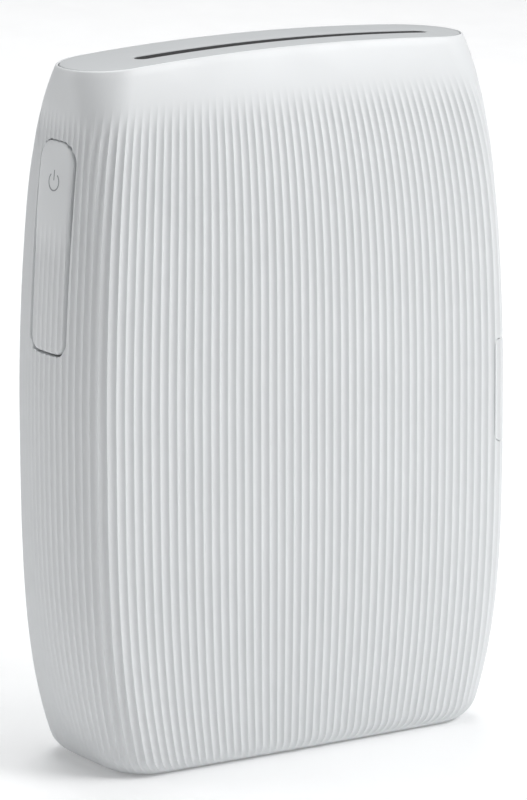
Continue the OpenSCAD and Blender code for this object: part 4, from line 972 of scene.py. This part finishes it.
def cap_plate(points=600):
    """Grey cap with the print slot, whose throat and outer wall are dark: the outer wall's dark band is a
    painted shadow line in the seam under the cap's edge, and the throat's dark felt is partly a light seal,
    partly painted shade down the slot.
    """
    g = np.arange(points) / points

    def edge(inset):
        return around(g, outline(BODY_H, inset))

    def slot(grow, back=0.0):
        return slot_outline(g, grow, back)

    def top(xy, drop):
        return place(xy, BODY_H) - np.array([0, 0, drop])

    def level(xy, z):
        return np.column_stack([xy, np.full(len(xy), z)])

    inset = RIM + SEAM
    face_rings, under_rings = 10, 5
    rings = [top(edge(inset + more), drop) for more, drop in CAP_EDGE]
    start, end = edge(inset + FACE_INSET), slot(*FACE_END)
    rings += [top(mix(start, end, w), 0.0) for w in np.linspace(0, 1, face_rings)]
    rings += [top(slot(grow, back), drop) for grow, back, drop in SLOT_MOUTH]
    mouth = len(rings) - 1
    foot_edge = CHUTE_FOOT_Z + CHUTE_CHAMFER
    rings += [top(slot(grow), drop) for grow, drop in SLOT_THROAT]
    rings.append(level(slot(0.0), foot_edge))
    throat = len(rings) - 1
    rings += [level(slot(grow), CHUTE_FOOT_Z) for grow in (CHUTE_CHAMFER, CHUTE_WALL - CHUTE_CHAMFER)]
    rings += [level(slot(CHUTE_WALL), foot_edge), top(slot(CHUTE_WALL), CAP_T + TOUCH)]
    collar_z = BODY_H - COLLAR_H
    collar_in = WALL + 0.1
    inner = edge(collar_in + COLLAR_T)
    root = slot(CHUTE_WALL + 2 * CHUTE_CHAMFER)
    rings += [top(mix(root, inner, w), CAP_T) for w in np.linspace(0, 1, under_rings)]
    rings += [level(inner, collar_z), level(edge(collar_in), collar_z), top(edge(collar_in), CAP_T)]
    cap = loft("cap", rings, closed=True)
    finished(cap, "cap_plate", "case", CAP, 40, ["top_cap"])
    # Painted shade: the outer wall's band is a dark shadow line for the seam, and the faces from the mouth
    # down to the chute's foot are dark partly as a felt seal, partly as painted shade in the slot
    cap.data.materials.append(FELT_AND_SHADE)
    faces = cap.data.polygons
    for face in list(faces[:points]) + list(faces[mouth * points:throat * points]):
        face.material_index = 1
    return cap


# Springs wound from wire


def coil(name, centre, radius, wire, z0, z1, turns, node, steps=20, sides=8):
    """Round wire wound about an upright line, with its two ends on two bodies."""
    count = int(turns * steps)
    rings = []
    for i in range(count + 1):
        f = i / count
        a = 2 * math.pi * turns * f
        z = mix(z0 + wire / 2, z1 - wire / 2, f)
        ring = []
        for k in range(sides):
            b = 2 * math.pi * k / sides
            r = radius + wire / 2 * math.cos(b)
            x, y = centre[0] + r * math.cos(a), centre[1] + r * math.sin(a)
            ring.append((x, y, z + wire / 2 * math.sin(b)))
        rings.append(ring)
    spring = loft(name, rings)
    spring.data.transform(Matrix.Scale(MM, 4))
    spring.data.shade_smooth()
    spring.data.materials.append(SPRING)
    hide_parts(node)
    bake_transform(spring)
    return spring


def springs():
    """The two coils that can be seen, the film pick's and the latch's."""
    for name, node, bodies, wire, turns in (
            ("pick_coil", "pick_spring", ("case", "picker"), 0.3, 16),
            ("latch_coil", "latch_spring", ("rear_door", "latch"), 0.18, 11)):
        lo, hi = node_box(node)
        radius = radius_of(node, 0) - wire / 2
        coil(name, centre_of(node, 0, 1), radius, wire, lo[2], hi[2], turns, node)


# Finishes of the construction's own pieces

FINISHES = {
    FELT_AND_SHADE: ["slot_seals"],
    BLACK: ["chassis", "exposure_head", "button_bracket", "encoder_wheel", "encoder_sensor", "power_switch",
            "reset_switch", "usb_tongue"],
    LINER: ["door_liner"],
    CHIP: ["board_chips"],
    CAP: ["latch_slider"],
    BUTTON: ["port_bezel", "switch_plunger", "reset_button"],
    STEEL: ["gear_plate", "pack_springs", "shield_can", "usb_shell", "motor", "screws"],
    TURNED: ["gear_axles", "door_pins", "button_pin", "port_pin", "front_roller", "rear_roller"],
    BRASS: ["motor_pinion", "roller_bushes"],
    NYLON: ["front_roller_gear", "rear_roller_gear", "idler_gear", "second_gear", "first_gear", "pick_gear",
            "pick_slide"],
    BOARD: ["main_board", "switch_board"],
    CELL: ["battery"],
    GLASS: ["head_lens"],
    FLEX: ["head_flex"],
}


def dress_nodes(sharp=30):
    """Gives the construction's own pieces their finishes."""
    for material, names in FINISHES.items():
        for name in names:
            node = frame["nodes"][name]
            node.data.materials.clear()
            node.data.materials.append(material)
            node.data.shade_smooth()
            node.data.set_sharp_from_angle(angle=math.radians(sharp))


# Stage, light and camera, in metres

MIDDLE = (0, 0, MID_Z * MM)


def stage():
    """A pale floor that glows faintly, under a dim sky."""
    size = 3.0
    corners = [(-size, -size, 0), (size, -size, 0), (size, size, 0), (-size, size, 0)]
    floor = add_mesh("floor", corners, [(0, 1, 2, 3)])
    pale = moulded("floor_pale", (0.9, 0.905, 0.91), 0.7, grain_scale=300, grain=0.0001,
                   Emission_Color=(1, 1, 1, 1), Emission_Strength=0.12)
    floor.data.materials.append(pale)
    world = bpy.data.worlds.new("studio")
    world.use_nodes = True
    background = world.node_tree.nodes["Background"]
    background.inputs["Color"].default_value = (0.97, 0.985, 1.0, 1)
    background.inputs["Strength"].default_value = 0.10
    bpy.context.scene.world = world


def area_light(name, at, target, size, energy):
    """Round soft light that shines from one place towards another."""
    light = bpy.data.lights.new(name, "AREA")
    light.shape = "DISK"
    light.size = size
    light.energy = energy
    obj = bpy.data.objects.new(name, light)
    obj.location = at
    obj.rotation_mode = "QUATERNION"
    obj.rotation_quaternion = (Vector(target) - Vector(at)).to_track_quat("-Z", "Y")
    bpy.context.scene.collection.objects.link(obj)
    return obj


def around_object(turn, rise, distance):
    """A place at a distance from the object's middle, in degrees round from the front and degrees up."""
    turn, rise = math.radians(turn), math.radians(rise)
    level = distance * math.cos(rise)
    return level * math.sin(turn), -level * math.cos(turn), MIDDLE[2] + distance * math.sin(rise)


def lights():
    """Two keys that graze the front from the right, a light above, one for the floor and one behind."""
    area_light("key", around_object(turn=35, rise=42, distance=1.1), MIDDLE, size=0.5, energy=5.4)
    area_light("side_key", around_object(turn=60, rise=35, distance=1.1), MIDDLE, size=0.5, energy=2.2)
    area_light("overhead", (0, 0, 1.3), MIDDLE, size=0.8, energy=6.5)
    area_light("floor_light", (0.35, 0.75, 0.9), target=(0.25, 0.5, 0), size=0.8, energy=5.3)
    area_light("rim_light", around_object(turn=-130, rise=22, distance=1.1), MIDDLE, size=0.6, energy=2.4)


def camera():
    """A long lens about a metre away, 32 degrees to the left and 12.5 degrees up."""
    azimuth, elevation, roll = (math.radians(a) for a in (-32.282, 12.493, -0.208))
    distance, right_by, up_by = 0.99253, -0.000061, -0.001803
    focal_pixels, frame_pixels, sensor = 5641.93, 800, 36.0
    level = math.cos(elevation)
    back = Vector((math.sin(azimuth) * level, -math.cos(azimuth) * level, math.sin(elevation)))
    right = Vector((math.cos(azimuth), math.sin(azimuth), 0))
    up = back.cross(right)
    right, up = (right * math.cos(roll) + up * math.sin(roll), up * math.cos(roll) - right * math.sin(roll))
    data = bpy.data.cameras.new("camera")
    data.sensor_width = sensor
    data.lens = focal_pixels * sensor / frame_pixels
    data.clip_start, data.clip_end = 0.05, 20
    obj = bpy.data.objects.new("camera", data)
    obj.rotation_mode = "QUATERNION"
    obj.rotation_quaternion = Matrix((right, up, back)).transposed().to_quaternion()
    obj.location = back * distance + right * right_by + up * up_by + Vector(MIDDLE)
    bpy.context.scene.collection.objects.link(obj)
    bpy.context.scene.camera = obj


def main():
    bpy.context.scene.view_settings.view_transform = "Standard"
    stock = ribbed_stock()
    front_casing(stock)
    rear_casing(stock)
    film_door(stock)
    port_cover(stock)
    bpy.data.objects.remove(stock)
    power_button()
    power_mark()
    cap_plate()
    springs()
    dress_nodes()
    stage()
    lights()
    camera()


main()
